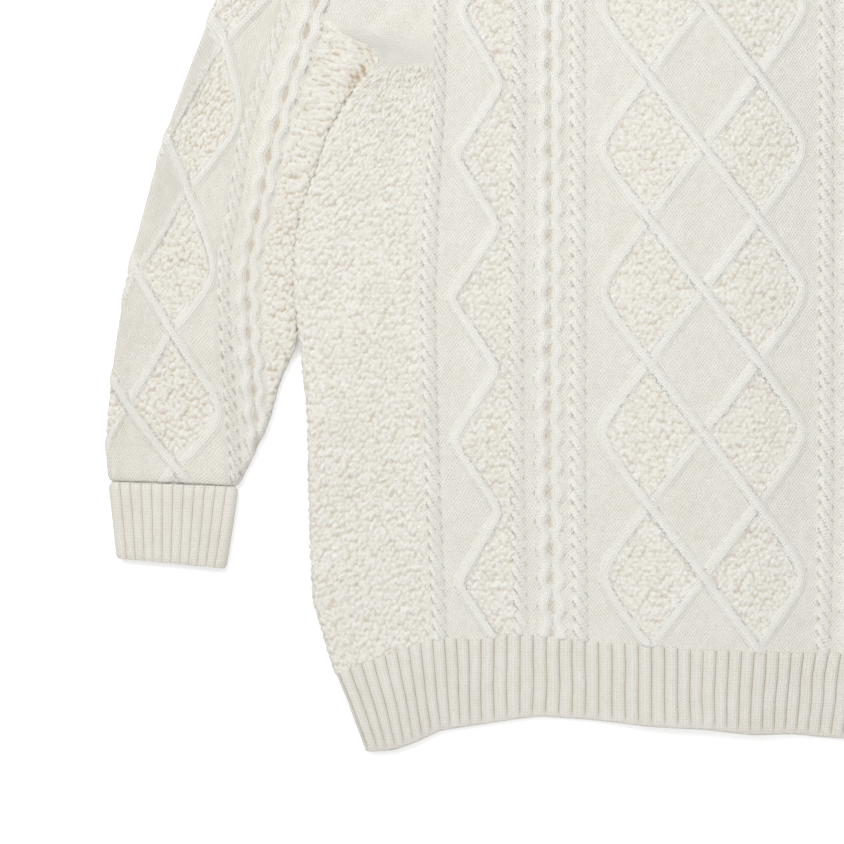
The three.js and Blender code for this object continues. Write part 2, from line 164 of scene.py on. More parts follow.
def soft_noise(x: np.ndarray, y: np.ndarray, cell: float, seed: float) -> np.ndarray:
    """Unevenness: a random value at each corner of a square grid, blended between them.

    Args:
        x: Distance across.
        y: Distance up.
        cell: Side of the grid's squares.
        seed: Chooses the random values.

    Returns:
        Values from -1 to 1.
    """
    i, j = np.floor(x / cell), np.floor(y / cell)
    a, b = x / cell - i, y / cell - j
    a, b = a * a * (3 - 2 * a), b * b * (3 - 2 * b)
    low = scramble(i, j, seed) * (1 - a) + scramble(i + 1, j, seed) * a
    high = scramble(i, j + 1, seed) * (1 - a) + scramble(i + 1, j + 1, seed) * a
    return 2.0 * (low * (1 - b) + high * b) - 1.0


def moss_bumps(x: np.ndarray, y: np.ndarray) -> np.ndarray:
    """Moss stitch: a round bump on each place of a chequer. Each bump has its own random
    place and height, and the highest one counts.

    Args:
        x: Distance across, in millimetres.
        y: Distance up, in millimetres.

    Returns:
        The bumps' height, from 0 to 1.
    """
    u, v = x / MOSS_WIDTH + y / MOSS_HEIGHT, x / MOSS_WIDTH - y / MOSS_HEIGHT
    nearest_u, nearest_v = np.round(u), np.round(v)
    highest = np.zeros_like(x)
    for step_u in (-1.0, 0.0, 1.0):
        for step_v in (-1.0, 0.0, 1.0):
            i, j = nearest_u + step_u, nearest_v + step_v
            first = scramble(i, j)
            second = (first * 57.31) % 1.0
            third = (first * 913.7) % 1.0
            away_u, away_v = u - i - 0.5 * (first - 0.5), v - j - 0.5 * (second - 0.5)
            away_x = MOSS_WIDTH / 2 * (away_u + away_v)
            away_y = MOSS_HEIGHT / 2 * (away_u - away_v)
            bump = 1.0 - (away_x / MOSS_RADIUS) ** 2 - (away_y / MOSS_RADIUS) ** 2
            highest = np.maximum(highest, np.clip(bump, 0.0, 1.0) * (0.6 + 0.4 * third))
    return highest


def ripple(x: np.ndarray, y: np.ndarray, scale: float, seed: float) -> np.ndarray:
    """Soft unevenness: the mean of three crossed sine waves of unlike lengths.

    Args:
        x: Distance across.
        y: Distance up.
        scale: Size of the waves.
        seed: Shifts the waves.

    Returns:
        Values from about -1 to 1.
    """
    a = np.sin(x / scale + 1.7 * np.sin(y / (1.9 * scale) + seed))
    b = np.sin(y / (0.8 * scale) + 1.3 * np.sin(x / (1.4 * scale) - 2.0 * seed))
    c = np.sin((x + 0.7 * y) / (1.6 * scale) + 3.1 * seed)
    return (a + b + c) / 3.0


# ---------------------------------------------------------------- the garment's outline

# The body's half-width at heights above the hem, and the heights of the hem and of the rib's
# seam at places across the garment.
SIDE_PLACES = [40, 62, 101, 140, 225, 271, 305, 334, 362, 388, 412, 430, 446,
               462, 470, 476, 482, 490, 503, 560, 700]
SIDE_HALVES = [241.5, 249.5, 261, 263.3, 264.5, 270, 274.2, 274, 269.6, 259.5, 251.7, 241.5, 231,
               217, 224.5, 235.3, 247, 252.8, 254, 254.2, 254.5]
HEM_PLACES = [-254, -224, -207, -191, -175, -147, -125, -109, -70, -36, 1, 33, 59, 85, 150, 200, 224, 254]
HEM_HEIGHTS = [2, 0.5, 1, 6.3, 14, 18, 21.2, 23.2, 20.6, 17.3, 16, 12.1, 12.1, 8.9, 5, 2, 0, 1]
SEAM_PLACES = [-254, -239, -221, -202, -189, -171, -149, -126, -109, -72, -28, -5, 21, 40,
               66, 150, 200, 254]
SEAM_HEIGHTS = [47, 53, 60, 66.5, 72, 75, 73.5, 79, 76.5, 73, 70.3, 67.7, 67, 65.8, 65.1, 65, 62, 56]

# The body's lines: its side, its hem and its seam, and the distance of three cables from the
# middle at heights above the hem.
half_width = Curve(SIDE_PLACES, SIDE_HALVES, 4)
hem_line = Curve(HEM_PLACES, HEM_HEIGHTS, 7)
seam_line = Curve(SEAM_PLACES, SEAM_HEIGHTS, 7)
rope_one_line = Curve([60, 101, 168, 235, 301, 368, 435, 501, 720],
                      [174.7, 176.7, 180, 182, 183.7, 181.3, 176.7, 175.3, 174], 20)
chain_line = Curve([60, 101, 168, 235, 301, 720], [100, 100.7, 102.3, 102.7, 102, 102], 20)
rope_two_line = Curve([60, 101, 168, 301, 501, 720], [80.7, 81.5, 82.7, 82.7, 83.3, 83.3], 20)


class Neckline(Enum):
    """The two necklines: how far each falls below the neck point."""

    BACK = "back"
    FRONT = "front"

    def height(self, x: np.ndarray) -> np.ndarray:
        """Height of the neckline: a shallow parabola behind, half an ellipse in front.

        Args:
            x: Places across the garment, from its middle.

        Returns:
            The height above the hem at each place.
        """
        share = np.clip(np.abs(x) / NECK_HALF, 0.0, 1.0)
        if self is Neckline.BACK:
            return NECK_POINT - BACK_NECK_DROP * (1.0 - share**2)
        return NECK_POINT - FRONT_NECK_DROP * np.sqrt(1.0 - share**2)


def top_edge(x: np.ndarray, neckline: Neckline) -> np.ndarray:
    """Height of a panel's top edge: the neckline, and the sloping shoulder outside it.

    Args:
        x: Places across the garment, from its middle.
        neckline: The panel's neckline.

    Returns:
        The height above the hem at each place.
    """
    share = np.clip((np.abs(x) - NECK_HALF) / (SHOULDER_HALF - NECK_HALF), 0.0, 1.0)
    shoulder = NECK_POINT + (SHOULDER_END - NECK_POINT) * share
    return np.where(np.abs(x) < NECK_HALF, neckline.height(x), shoulder)


def side_fold(y: np.ndarray) -> np.ndarray:
    """How far the cloth turns over at the side: 1 at a side seam, 0 at an armhole."""
    return 1.0 - smoothstep(448.0, 470.0, y)


def band_rise(x: np.ndarray) -> np.ndarray:
    """Share of the bands' lift at a place across the garment."""
    return 1.0 - smoothstep(BAND_HALF + SEAM_GAP, BAND_SLOPE_END, np.abs(x))


def back_underside(x: np.ndarray, y: np.ndarray, flat_edge: np.ndarray) -> np.ndarray:
    """Height of the back's underside: it lies on the fronts, bridges the bands and stands
    fuller towards the sides and shoulders.

    Args:
        x: Places across the garment, from its middle.
        y: Heights above the hem.
        flat_edge: Distance from the middle to where the side's fold begins.

    Returns:
        The height above the floor at each place.
    """
    full_height = FOLDED_HEIGHT - WALL - BACK_REST
    side = smoothstep(0.0, 1.0, (np.abs(x) - flat_edge + PUFF_WIDTH) / PUFF_WIDTH)
    shoulder = top_edge(x, Neckline.BACK) - FOLD_RADIUS
    top = smoothstep(0.0, 1.0, (y - shoulder + PUFF_WIDTH) / PUFF_WIDTH)
    puff = 1.0 - (1.0 - side) * (1.0 - top)
    over_bands = band_rise(x) * (1.0 - smoothstep(BAND_TOP + 2.0, BAND_TOP + 36.0, y))
    return BACK_REST + full_height * puff + BACK_LIFT * over_bands * (1.0 - 0.5 * top)


def front_underside(x: np.ndarray) -> np.ndarray:
    """Height of the fronts' lower faces, which rise to the bands that they are sewn to."""
    rest = np.where(x < 0, BUTTONHOLE_BAND_REST, BUTTON_BAND_REST)
    return rest * band_rise(x)


# Soft creases of the body: ends in millimetres from the middle and the hem, the width of
# the trough and its depth. A negative depth is a ridge.
BODY_CREASES = [
    (-214, 458, -170, 520, 9.0, 0.9),
    (-228, 482, -196, 505, 6.0, 1.0),
    (-256, 330, -215, 430, 13.0, -1.2),
    (-262, 250, -236, 330, 12.0, 0.9),
    (-250, 120, -225, 215, 14.0, 0.7),
    (-205, 84, -150, 150, 12.0, 0.6),
    (216, 456, 160, 530, 10.0, 1.4),
    (256, 340, 222, 425, 14.0, -1.0),
    (262, 150, 228, 260, 13.0, 0.8),
    (190, 590, 240, 660, 16.0, 0.9),
    (-200, 600, -246, 655, 15.0, 0.8),
]


# The pinch at the underarm, on both sides, given in the same way. On the back it is only a painted shadow;
# on the sleeves it is a dip with a painted shadow in it.
UNDERARM_PINCH_SHADE = [
    (220, 464, 238, 438, 5.0, 1.0),
    (219, 464, 240, 479, 3.0, 0.5),
]


def crease_depth(x: np.ndarray, y: np.ndarray, creases: list[tuple]) -> np.ndarray:
    """Sum of the creases: each is a bell across its line, fading towards its two ends.

    Args:
        x: Places across the garment.
        y: Heights above the hem.
        creases: Each crease's start x and y, end x and y, width and depth.

    Returns:
        The depth at each place.
    """
    total = np.zeros_like(x)
    for start_x, start_y, end_x, end_y, width, depth in creases:
        run_x, run_y = end_x - start_x, end_y - start_y
        length = math.hypot(run_x, run_y)
        along = ((x - start_x) * run_x + (y - start_y) * run_y) / length**2
        across = ((x - start_x) * run_y - (y - start_y) * run_x) / length
        fade = np.exp(-((2.0 * along - 1.0) ** 4))
        total += depth * fade * np.exp(-((across / width) ** 2))
    return total


# ---------------------------------------------------------------- stitches and cables

# How far a stitch strays from its place and how far the plain ground rises and falls, each
# with the distance over which it changes.
STITCH_STRAY = 0.55
STRAY_CELL = 5.0
GROUND_UNEVENNESS = 0.12
GROUND_CELL = 7.0


@dataclass(frozen=True)
class Rope:
    """A rope cable's size: half its width, the height of one crossing and its relief."""

    half: float
    pitch: float
    height: float


@dataclass(frozen=True)
class Chain:
    """A chain cable's size: its links' height and start, how far its strands stand from the
    middle and swing, and half of one strand's width and its relief."""

    link: float = ROW_PERIOD / 5
    start: float = 0.9
    parting: float = 4.7
    swing: float = 1.3
    half: float = 4.4
    height: float = 2.4


class Stitches:
    """The relief of a stretch of knitting, what each place of it is knitted in, and how much shade is
    painted there.
    """

    def __init__(self, across: np.ndarray, up: np.ndarray, purl: float = 1.0) -> None:
        """Starts as plain reverse stocking stitch.

        Args:
            across: Distance across the chart, in millimetres.
            up: Distance up the chart, in millimetres.
            purl: How strongly the ground's purl bumps show.
        """
        self.across = across
        self.up = up
        self.stitch_x = across + STITCH_STRAY * soft_noise(across, up, STRAY_CELL, 1.0)
        self.stitch_y = up + STITCH_STRAY * soft_noise(across, up, STRAY_CELL, 2.0)
        self.height = GROUND_UNEVENNESS * soft_noise(across, up, GROUND_CELL, 3.0)
        self.purl = np.full_like(across, purl)
        self.moss = np.zeros_like(across)
        self.cord = np.zeros_like(across)
        # fold is painted shade: 0 is none, and enough of it reaches the warm brown crease colour.
        self.fold = np.zeros_like(across)
        self.run_along = up.copy()
        self.run_across = across.copy()

    def lay_cord(self, height: np.ndarray, along: np.ndarray, across: np.ndarray) -> np.ndarray:
        """Lays a raised cord over what is there, wherever it stands higher. Its braid fades towards its
        edges, and shade is painted along its low edges.

        Args:
            height: The cord's height, 0 beside it.
            along: Distance along the cord.
            across: Distance from the cord's middle line.

        Returns:
            Where the cord was laid.
        """
        over = (height > self.height) & (height > 0.05)
        self.height = np.where(over, height, self.height)
        self.run_along = np.where(over, along, self.run_along)
        self.run_across = np.where(over, across, self.run_across)
        self.cord = np.where(over, smoothstep(0.35, 1.3, height), self.cord)
        self.moss = np.where(over, 0.0, self.moss)
        # Painted shade along the cord's low edges.
        self.fold = np.where(over, 0.2 * (1.0 - smoothstep(0.2, 1.1, height)), self.fold)
        self.purl = np.where(over, 0.0, self.purl)
        return over

    def fill_moss(self, share: np.ndarray) -> None:
        """Fills a region with moss stitch: raises its bumps and paints shade into the pits between them.

        Args:
            share: 1 inside the region, 0 outside it.
        """
        bumps = moss_bumps(self.stitch_x, self.stitch_y)
        self.height = self.height + share * (MOSS_RELIEF * bumps - MOSS_SINK)
        pits = np.clip(1.0 - bumps / MOSS_PIT_LEVEL, 0.0, 1.0)
        self.fold = np.maximum(self.fold, MOSS_PIT_SHADE * share * pits)
        self.moss = np.maximum(self.moss, share)
        self.purl = self.purl * (1.0 - share)

    def shade_valleys(self, local: np.ndarray, half: float, height: float, strength: float) -> None:
        """Paints shade into a cable's own low places, between its strands."""
        valley = np.clip(1.0 - self.height / (0.6 * height), 0.0, 1.0) * (np.abs(local) < half)
        self.fold = np.maximum(self.fold, strength * valley)

    def rope(self, middle: float, size: Rope) -> None:
        """Lays a rope cable of two strands that slant down to the right. Each strand's middle
        swings as a sine and rises as a cosine, half a turn apart.

        Args:
            middle: The cable's place across the chart.
            size: The cable's size.
        """
        local = self.across - middle
        strand_half = 0.63 * size.half
        swing = size.half - strand_half
        for turn in (0.0, math.pi):
            angle = np.pi * self.up / size.pitch + turn
            offset = local + swing * np.sin(angle)
            rise = np.cos(angle)
            level = bead(offset, strand_half, size.height) * (0.76 + 0.24 * rise)
            level = level + 0.5 * rise * smoothstep(0.1, 0.9, level)
            over = self.lay_cord(np.maximum(level, 0.0), self.up + 0.5 * offset, offset)
            # Painted shade on each strand where it dips under the other.
            self.fold = np.where(over, np.maximum(self.fold, 0.15 * (1.0 - rise)), self.fold)
        self.shade_valleys(local, 0.85 * size.half, size.height, 0.55)

    def chain(self, middle: float, size: Chain = Chain()) -> None:
        """Lays a chain cable: two strands that part round a hole and meet again, as cosines.

        Args:
            middle: The cable's place across the chart.
            size: The cable's size.
        """
        local = self.across - middle
        angle = 2 * np.pi * (self.up - size.start) / size.link
        for side in (-1.0, 1.0):
            offset = local - side * (size.parting + size.swing * np.cos(angle))
            level = bead(offset, size.half, size.height)
            level = level + 0.3 * np.cos(angle + side * 0.9) * smoothstep(0.1, 0.9, level)
            self.lay_cord(np.maximum(level, 0.0), self.up - side * 0.3 * offset, offset)
        # Painted shade in the holes between the two strands.
        self.shade_valleys(local, 2.0, size.height, 0.62)

    def travelling_cord(
        self, middle: np.ndarray, slope: np.ndarray, half: float, height: np.ndarray
    ) -> None:
        """Lays one cord whose middle line wanders across the chart.

        Args:
            middle: The middle line's place across, at each point's height.
            slope: The middle line's change across for each millimetre up.
            half: Half the cord's width.
            height: The cord's height at each point.
        """
        tilt = np.sqrt(1.0 + slope**2)
        offset = (self.across - middle) / tilt
        self.lay_cord(bead(offset, half, 1.0) * height, self.up * float(tilt.mean()), offset)


@dataclass(frozen=True)
class LatticePanel:
    """Four cords that cross in a lattice, with moss stitch in every other diamond. Half of a
    diamond's width is given as a share of the lattice's reach from its middle."""

    reach: float = 66.7
    diamond_share: float = 0.53
    cord_half: float = 4.7
    cord_height: float = 2.3
    period: float = ROW_PERIOD
    first_row: float = LATTICE_ROW

    def knit(self, stitches: Stitches) -> None:
        """Adds the panel to the stitches, centred on the middle of the chart.

        Args:
            stitches: The stitches, which are changed in place.
        """
        across, up = stitches.across, stitches.up
        diamond = self.period / 2
        column = across / (self.diamond_share * self.reach)
        right = column + (up - self.first_row) / diamond
        left = column - (up - self.first_row) / diamond
        even = (np.floor(right / 2) + np.floor(left / 2)) % 2 == 0
        inside = np.abs(across) < self.reach
        moss = (even & inside).astype(float)
        stitches.fill_moss(moss)
        for strand in range(4):
            angle = np.pi * (up - self.first_row) / (2 * self.period) + strand * np.pi / 2
            middle = self.reach * rounded_wave(angle)
            slope = self.reach * rounded_wave_slope(angle) * np.pi / (2 * self.period)
            to_crossing = (up - self.first_row + diamond / 2) % diamond - diamond / 2
            crossing = np.exp(-((to_crossing / 7.5) ** 2))
            crossing = crossing * (1.0 - smoothstep(0.8, 0.96, np.abs(np.cos(angle))))
            over = slope < 0
            height = self.cord_height + np.where(over, 0.7, -0.9) * crossing
            stitches.travelling_cord(middle, slope, self.cord_half, height)


@dataclass(frozen=True)
class BodyChart:
    """The chart of the back and the fronts, the same on both sides of the middle."""

    rope_two: float = 83.3
    rope_two_size: Rope = Rope(6.0, 9.7, 2.2)
    chain: float = 102.0
    rope_three: float = 123.3
    rope_three_size: Rope = Rope(6.2, 9.7, 1.9)
    zigzag_middle: float = 150.0
    zigzag_swing: float = 13.3
    zigzag_row: float = 398.0
    zigzag_half: float = 4.6
    zigzag_height: float = 2.3
    rope_one: float = 179.0
    rope_one_size: Rope = Rope(5.8, 9.0, 2.3)
    moss_from: float = 185.5
    yoke: float = 457.0

    def knit(self, across: np.ndarray, up: np.ndarray) -> Stitches:
        """Knits the whole chart at the given places.

        Args:
            across: Distance across the chart, in millimetres.
            up: Distance up the chart, in millimetres.

        Returns:
            The stitches there.
        """
        stitches = Stitches(across, up)
        distance = np.abs(across)
        LatticePanel().knit(stitches)
        angle = np.pi * (up - self.zigzag_row) / (ROW_PERIOD / 2)
        zigzag = self.zigzag_middle + self.zigzag_swing * rounded_wave(angle, 0.97)
        slope = self.zigzag_swing * rounded_wave_slope(angle, 0.97) * 2 * np.pi / ROW_PERIOD
        inner_moss = (distance > self.rope_three + 2.0) & (distance < zigzag)
        side_moss = smoothstep(self.moss_from, self.moss_from + 2.0, distance)
        wander = 4.0 * ripple(across, up, 17.0, 1.0)
        side_moss = side_moss * (1.0 - smoothstep(-3.0, 3.0, up - self.yoke - wander))
        stitches.fill_moss(np.maximum(inner_moss.astype(float), side_moss))
        yoke = smoothstep(self.moss_from - 2.0, self.moss_from, distance)
        yoke = yoke * smoothstep(-3.0, 3.0, up - self.yoke - wander)
        stitches.purl = stitches.purl * (1.0 - 0.2 * yoke)
        for side in (-1.0, 1.0):
            stitches.rope(side * self.rope_two, self.rope_two_size)
            stitches.chain(side * self.chain)
            stitches.rope(side * self.rope_three, self.rope_three_size)
            height = np.full_like(up, self.zigzag_height)
            stitches.travelling_cord(side * zigzag, side * slope, self.zigzag_half, height)
            stitches.rope(side * self.rope_one, self.rope_one_size)
        return stitches


@dataclass(frozen=True)
class SleeveChart:
    """The chart of a sleeve: the lattice, a rope and a chain on each side, then moss."""

    reach: float = 64.5
    rope: float = 74.9
    rope_size: Rope = Rope(5.7, 9.7, 2.2)
    chain: float = 93.0
    moss_from: float = 103.5

    def knit(self, across: np.ndarray, up: np.ndarray) -> Stitches:
        """Knits the sleeve's chart at the given places.

        Args:
            across: Distance across the chart, in millimetres.
            up: Distance up the chart, in millimetres.

        Returns:
            The stitches there.
        """
        stitches = Stitches(across, up)
        LatticePanel(reach=self.reach, first_row=0.0).knit(stitches)
        stitches.fill_moss(smoothstep(self.moss_from, self.moss_from + 2.0, np.abs(across)))
        for side in (-1.0, 1.0):
            stitches.rope(side * self.rope, self.rope_size)
            stitches.chain(side * self.chain)
        return stitches


def rib_columns(first: float, last: float) -> np.ndarray:
    """Places across some ribs, counted in ribs: ten to a rib, closest beside the gaps.

    Args:
        first: The first place.
        last: The last place.

    Returns:
        The places in order, with both ends.
    """
    inside = np.array([0.0, 0.07, 0.16, 0.29, 0.42, 0.5, 0.58, 0.71, 0.84, 0.93])
    places = (np.arange(math.floor(first), math.ceil(last))[:, None] + inside).ravel()
    places = places[(places > first + 0.02) & (places < last - 0.02)]
    return np.concatenate([[first], places, [last]])


def rib_stitches(ribs: np.ndarray, along: np.ndarray, pitch: float, height: float = 1.5) -> Stitches:
    """Two-by-two rib: pairs of knit wales stand up between narrow purl gaps.

    Args:
        ribs: Count of ribs across, so that one unit is one rib and whole numbers are gaps.
        along: Distance along the ribs, in millimetres.
        pitch: Width of one rib, in millimetres.
        height: Height of a rib.

    Returns:
        The stitches of the rib: height x a smooth rise beside the gap x a flat crown, less a
        fine groove down its middle.
    """
    from_gap = 0.5 - np.abs(ribs - np.floor(ribs) - 0.5)
    stitches = Stitches(ribs * pitch, along, purl=0.3)
    groove = 0.16 * np.exp(-(((0.5 - from_gap) / 0.05) ** 2))
    crown = 1.0 - 0.9 * (0.5 - from_gap) ** 2
    ridge = height * smoothstep(-0.02, 0.15, from_gap) * crown
    stitches.lay_cord(np.maximum(ridge - groove, 0.0), along, (0.26 - from_gap) * pitch)
    # Painted shade: a dark line down each narrow gap between the ribs.
    stitches.fold = 0.92 * np.exp(-((from_gap / 0.055) ** 2))
    return stitches


# ---------------------------------------------------------------- finishes


Colour = tuple[float, float, float, float]


def srgb(red: int, green: int, blue: int) -> Colour:
    """Turns a screen colour, 0 to 255, into Blender's linear colour."""
    linear = [((v / 255 + 0.055) / 1.055) ** 2.4 if v > 10 else v / 3294.6 for v in (red, green, blue)]
    return (*linear, 1.0)


class NodeSheet:
    """A material's nodes, with short ways to add and join them."""

    def __init__(self, name: str) -> None:
        """Makes an empty node material.

        Args:
            name: The material's name.
        """
        self.material = bpy.data.materials.new(name)
        self.material.use_nodes = True
        self.tree = self.material.node_tree
        self.tree.nodes.clear()

    def add(self, kind: str, **settings: object) -> bpy.types.Node:
        """Adds a node.

        Args:
            kind: The node's type.
            **settings: Its plain properties.

        Returns:
            The node.
        """
        node = self.tree.nodes.new(kind)
        for key, value in settings.items():
            setattr(node, key, value)
        return node

    def feed(self, value: object, target: bpy.types.NodeSocket) -> None:
        """Gives an input its value.

        Args:
            value: An output to link, or a plain value to set.
            target: The input.
        """
        if isinstance(value, bpy.types.NodeSocket):
            self.tree.links.new(value, target)
        else:
            target.default_value = value

    def math(self, operation: str, *values: object) -> bpy.types.NodeSocket:
        """Adds a Math node.

        Args:
            operation: The node's operation.
            *values: Its inputs, each a socket or a number.

        Returns:
            The node's output.
        """
        node = self.add("ShaderNodeMath", operation=operation)
        for value, target in zip(values, node.inputs):
            self.feed(value, target)
        return node.outputs[0]

    def weighted_sum(self, *terms: tuple[bpy.types.NodeSocket, object]) -> bpy.types.NodeSocket:
        """Adds up some values, each times its weight.

        Args:
            *terms: Pairs of a value and a weight, which is a socket or a number.

        Returns:
            The sum.
        """
        total, *others = [self.math("MULTIPLY", value, weight) for value, weight in terms]
        for part in others:
            total = self.math("ADD", total, part)
        return total

    def clamped(self, value: bpy.types.NodeSocket) -> bpy.types.NodeSocket:
        """Keeps a Math node's output between 0 and 1."""
        value.node.use_clamp = True
        return value

    def attribute(self, name: str) -> bpy.types.Node:
        """Reads a mesh attribute."""
        return self.add("ShaderNodeAttribute", attribute_name=name)

    def split(self, name: str) -> list[bpy.types.NodeSocket]:
        """Reads a mesh attribute that is a vector.

        Args:
            name: The attribute's name.

        Returns:
            Its three numbers.
        """
        node = self.add("ShaderNodeSeparateXYZ")
        self.feed(self.attribute(name).outputs["Vector"], node.inputs[0])
        return list(node.outputs)

    def wave(self, value: bpy.types.NodeSocket, length: float) -> bpy.types.NodeSocket:
        """The cosine of a distance, one turn for each length."""
        return self.math("COSINE", self.math("MULTIPLY", value, 2 * math.pi / length))

    def place(self) -> bpy.types.NodeSocket:
        """The place on the object, in metres."""
        return self.add("ShaderNodeTexCoord").outputs["Object"]

    def noise(self, place: bpy.types.NodeSocket, **inputs: float) -> bpy.types.NodeSocket:
        """Adds a noise.

        Args:
            place: Where it is read.
            **inputs: The noise's own inputs, by name.

        Returns:
            Values from 0 to 1.
        """
        node = self.add("ShaderNodeTexNoise")
        for name, value in inputs.items():
            node.inputs[name].default_value = value
        self.feed(place, node.inputs["Vector"])
        return node.outputs[0]

    def mix(self, share: bpy.types.NodeSocket, first: object, second: object) -> bpy.types.NodeSocket:
        """Mixes two colours.

        Args:
            share: The second colour's share.
            first: A colour, or a socket that gives one.
            second: The same.

        Returns:
            The mixed colour.
        """
        node = self.add("ShaderNodeMix", data_type="RGBA")
        ends = [socket for socket in node.inputs if socket.type == "RGBA"]
        for value, target in zip((first, second), ends):
            self.feed(value, target)
        self.feed(share, node.inputs[0])
        return next(socket for socket in node.outputs if socket.type == "RGBA")

    def finish(self, inputs: dict[str, object]) -> bpy.types.Material:
        """Ends the sheet with a Principled shader and its output.

        Args:
            inputs: The shader's inputs by name, each a socket or a plain value.

        Returns:
            The material.
        """
        shader = self.add("ShaderNodeBsdfPrincipled")
        for name, value in inputs.items():
            self.feed(value, shader.inputs[name])
        output = self.add("ShaderNodeOutputMaterial")
        self.feed(shader.outputs[0], output.inputs["Surface"])
        return self.material


@dataclass(frozen=True)
class KnitFinish:
    """Undyed wool with light and shade painted into its colour: pale on the raised stitches, a painted
    warmer and darker shade in the low places between them, and a warm brown crease colour, painted shadow,
    in deep creases, gaps and pits. Lengths of the stitches' waves are in millimetres, and scales of the
    noises in turns a metre."""

    name: str
    light: Colour
    shade: Colour
    crease_shade: Colour
    bump: float = 0.8
    bump_distance: float = 0.0007
    purl_width: float = 2.1
    purl_height: float = 3.0
    loop_length: float = 2.0
    strand_width: float = 1.75
    fuzz_scale: float = 900.0
    loose_scale: float = 420.0
    blotch_scale: float = 55.0

    def material(self) -> bpy.types.Material:
        """Builds the wool's nodes from the knitting's own attributes.

        Returns:
            The material.
        """
        sheet = NodeSheet(self.name)
        chart_x, chart_y, _ = sheet.split("chart")
        along, across, _ = sheet.split("run")
        moss_share, purl_share, cord_share = sheet.split("kinds")
        depth = sheet.attribute("depth").outputs["Fac"]
        place = sheet.place()
        fuzz = sheet.noise(place, Scale=self.fuzz_scale, Detail=2.0)
        blotch = sheet.noise(place, Scale=self.blotch_scale, Detail=3.0)
        loose = sheet.noise(place, Scale=self.loose_scale, Detail=1.0)
        purl = sheet.math(
            "MULTIPLY", sheet.wave(chart_x, self.purl_width), sheet.wave(chart_y, self.purl_height)
        )
        moss = sheet.math("MULTIPLY", sheet.math("SUBTRACT", loose, 0.5), 3.0)
        leg = sheet.math("MULTIPLY", sheet.math("ABSOLUTE", across), 0.75)
        loops = sheet.wave(sheet.math("ADD", along, leg), self.loop_length)
        strands = sheet.wave(across, self.strand_width)
        braid = sheet.weighted_sum((loops, 0.45), (strands, 0.45))
        relief = sheet.weighted_sum((purl, purl_share), (moss, moss_share), (braid, cord_share))
        bump = sheet.add("ShaderNodeBump")
        bump.inputs["Strength"].default_value = self.bump
        bump.inputs["Distance"].default_value = self.bump_distance
        sheet.feed(sheet.weighted_sum((relief, 0.5), (fuzz, 0.9)), bump.inputs["Height"])
        # Painted light and shade: low places and painted shade (depth) and the stitches' troughs go towards
        # the shade colour, crests towards the light colour; blotch and fuzz add random tone.
        lit = sheet.clamped(sheet.weighted_sum((relief, 0.3), (depth, 0.45), (blotch, 0.35), (fuzz, 0.35)))
        # Painted shadow: where depth falls below 0, the colour goes on towards the warm brown crease
        # colour.
        crease_shadow_share = sheet.clamped(sheet.math("MULTIPLY", depth, -2.0))
        colour = sheet.mix(crease_shadow_share, sheet.mix(lit, self.shade, self.light), self.crease_shade)
        return sheet.finish({
            "Base Color": colour,
            "Roughness": sheet.math("ADD", sheet.math("MULTIPLY", fuzz, 0.12), 0.84),
            "Normal": bump.outputs["Normal"],
            "Sheen Weight": 0.12,
            "Sheen Roughness": 0.5,
            "Specular IOR Level": 0.25,
        })


@dataclass(frozen=True)
class ButtonFinish:
    """Horn-like resin with soft streaks and a satin face."""

    dark: Colour
    pale: Colour
    name: str = "button_horn"
    streak_scale: float = 160.0

    def material(self) -> bpy.types.Material:
        """Builds the streaked resin.

        Returns:
            The material.
        """
        sheet = NodeSheet(self.name)
        streaks = sheet.noise(sheet.place(), Scale=self.streak_scale, Distortion=2.0)
        ramp = sheet.add("ShaderNodeValToRGB")
        for stop, colour in zip(ramp.color_ramp.elements, (self.dark, self.pale)):
            stop.color = colour
        sheet.feed(streaks, ramp.inputs[0])
        rough = sheet.math("ADD", sheet.math("MULTIPLY", streaks, 0.25), 0.25)
        return sheet.finish({"Base Color": ramp.outputs[0], "Roughness": rough})


# ---------------------------------------------------------------- from arrays to meshes


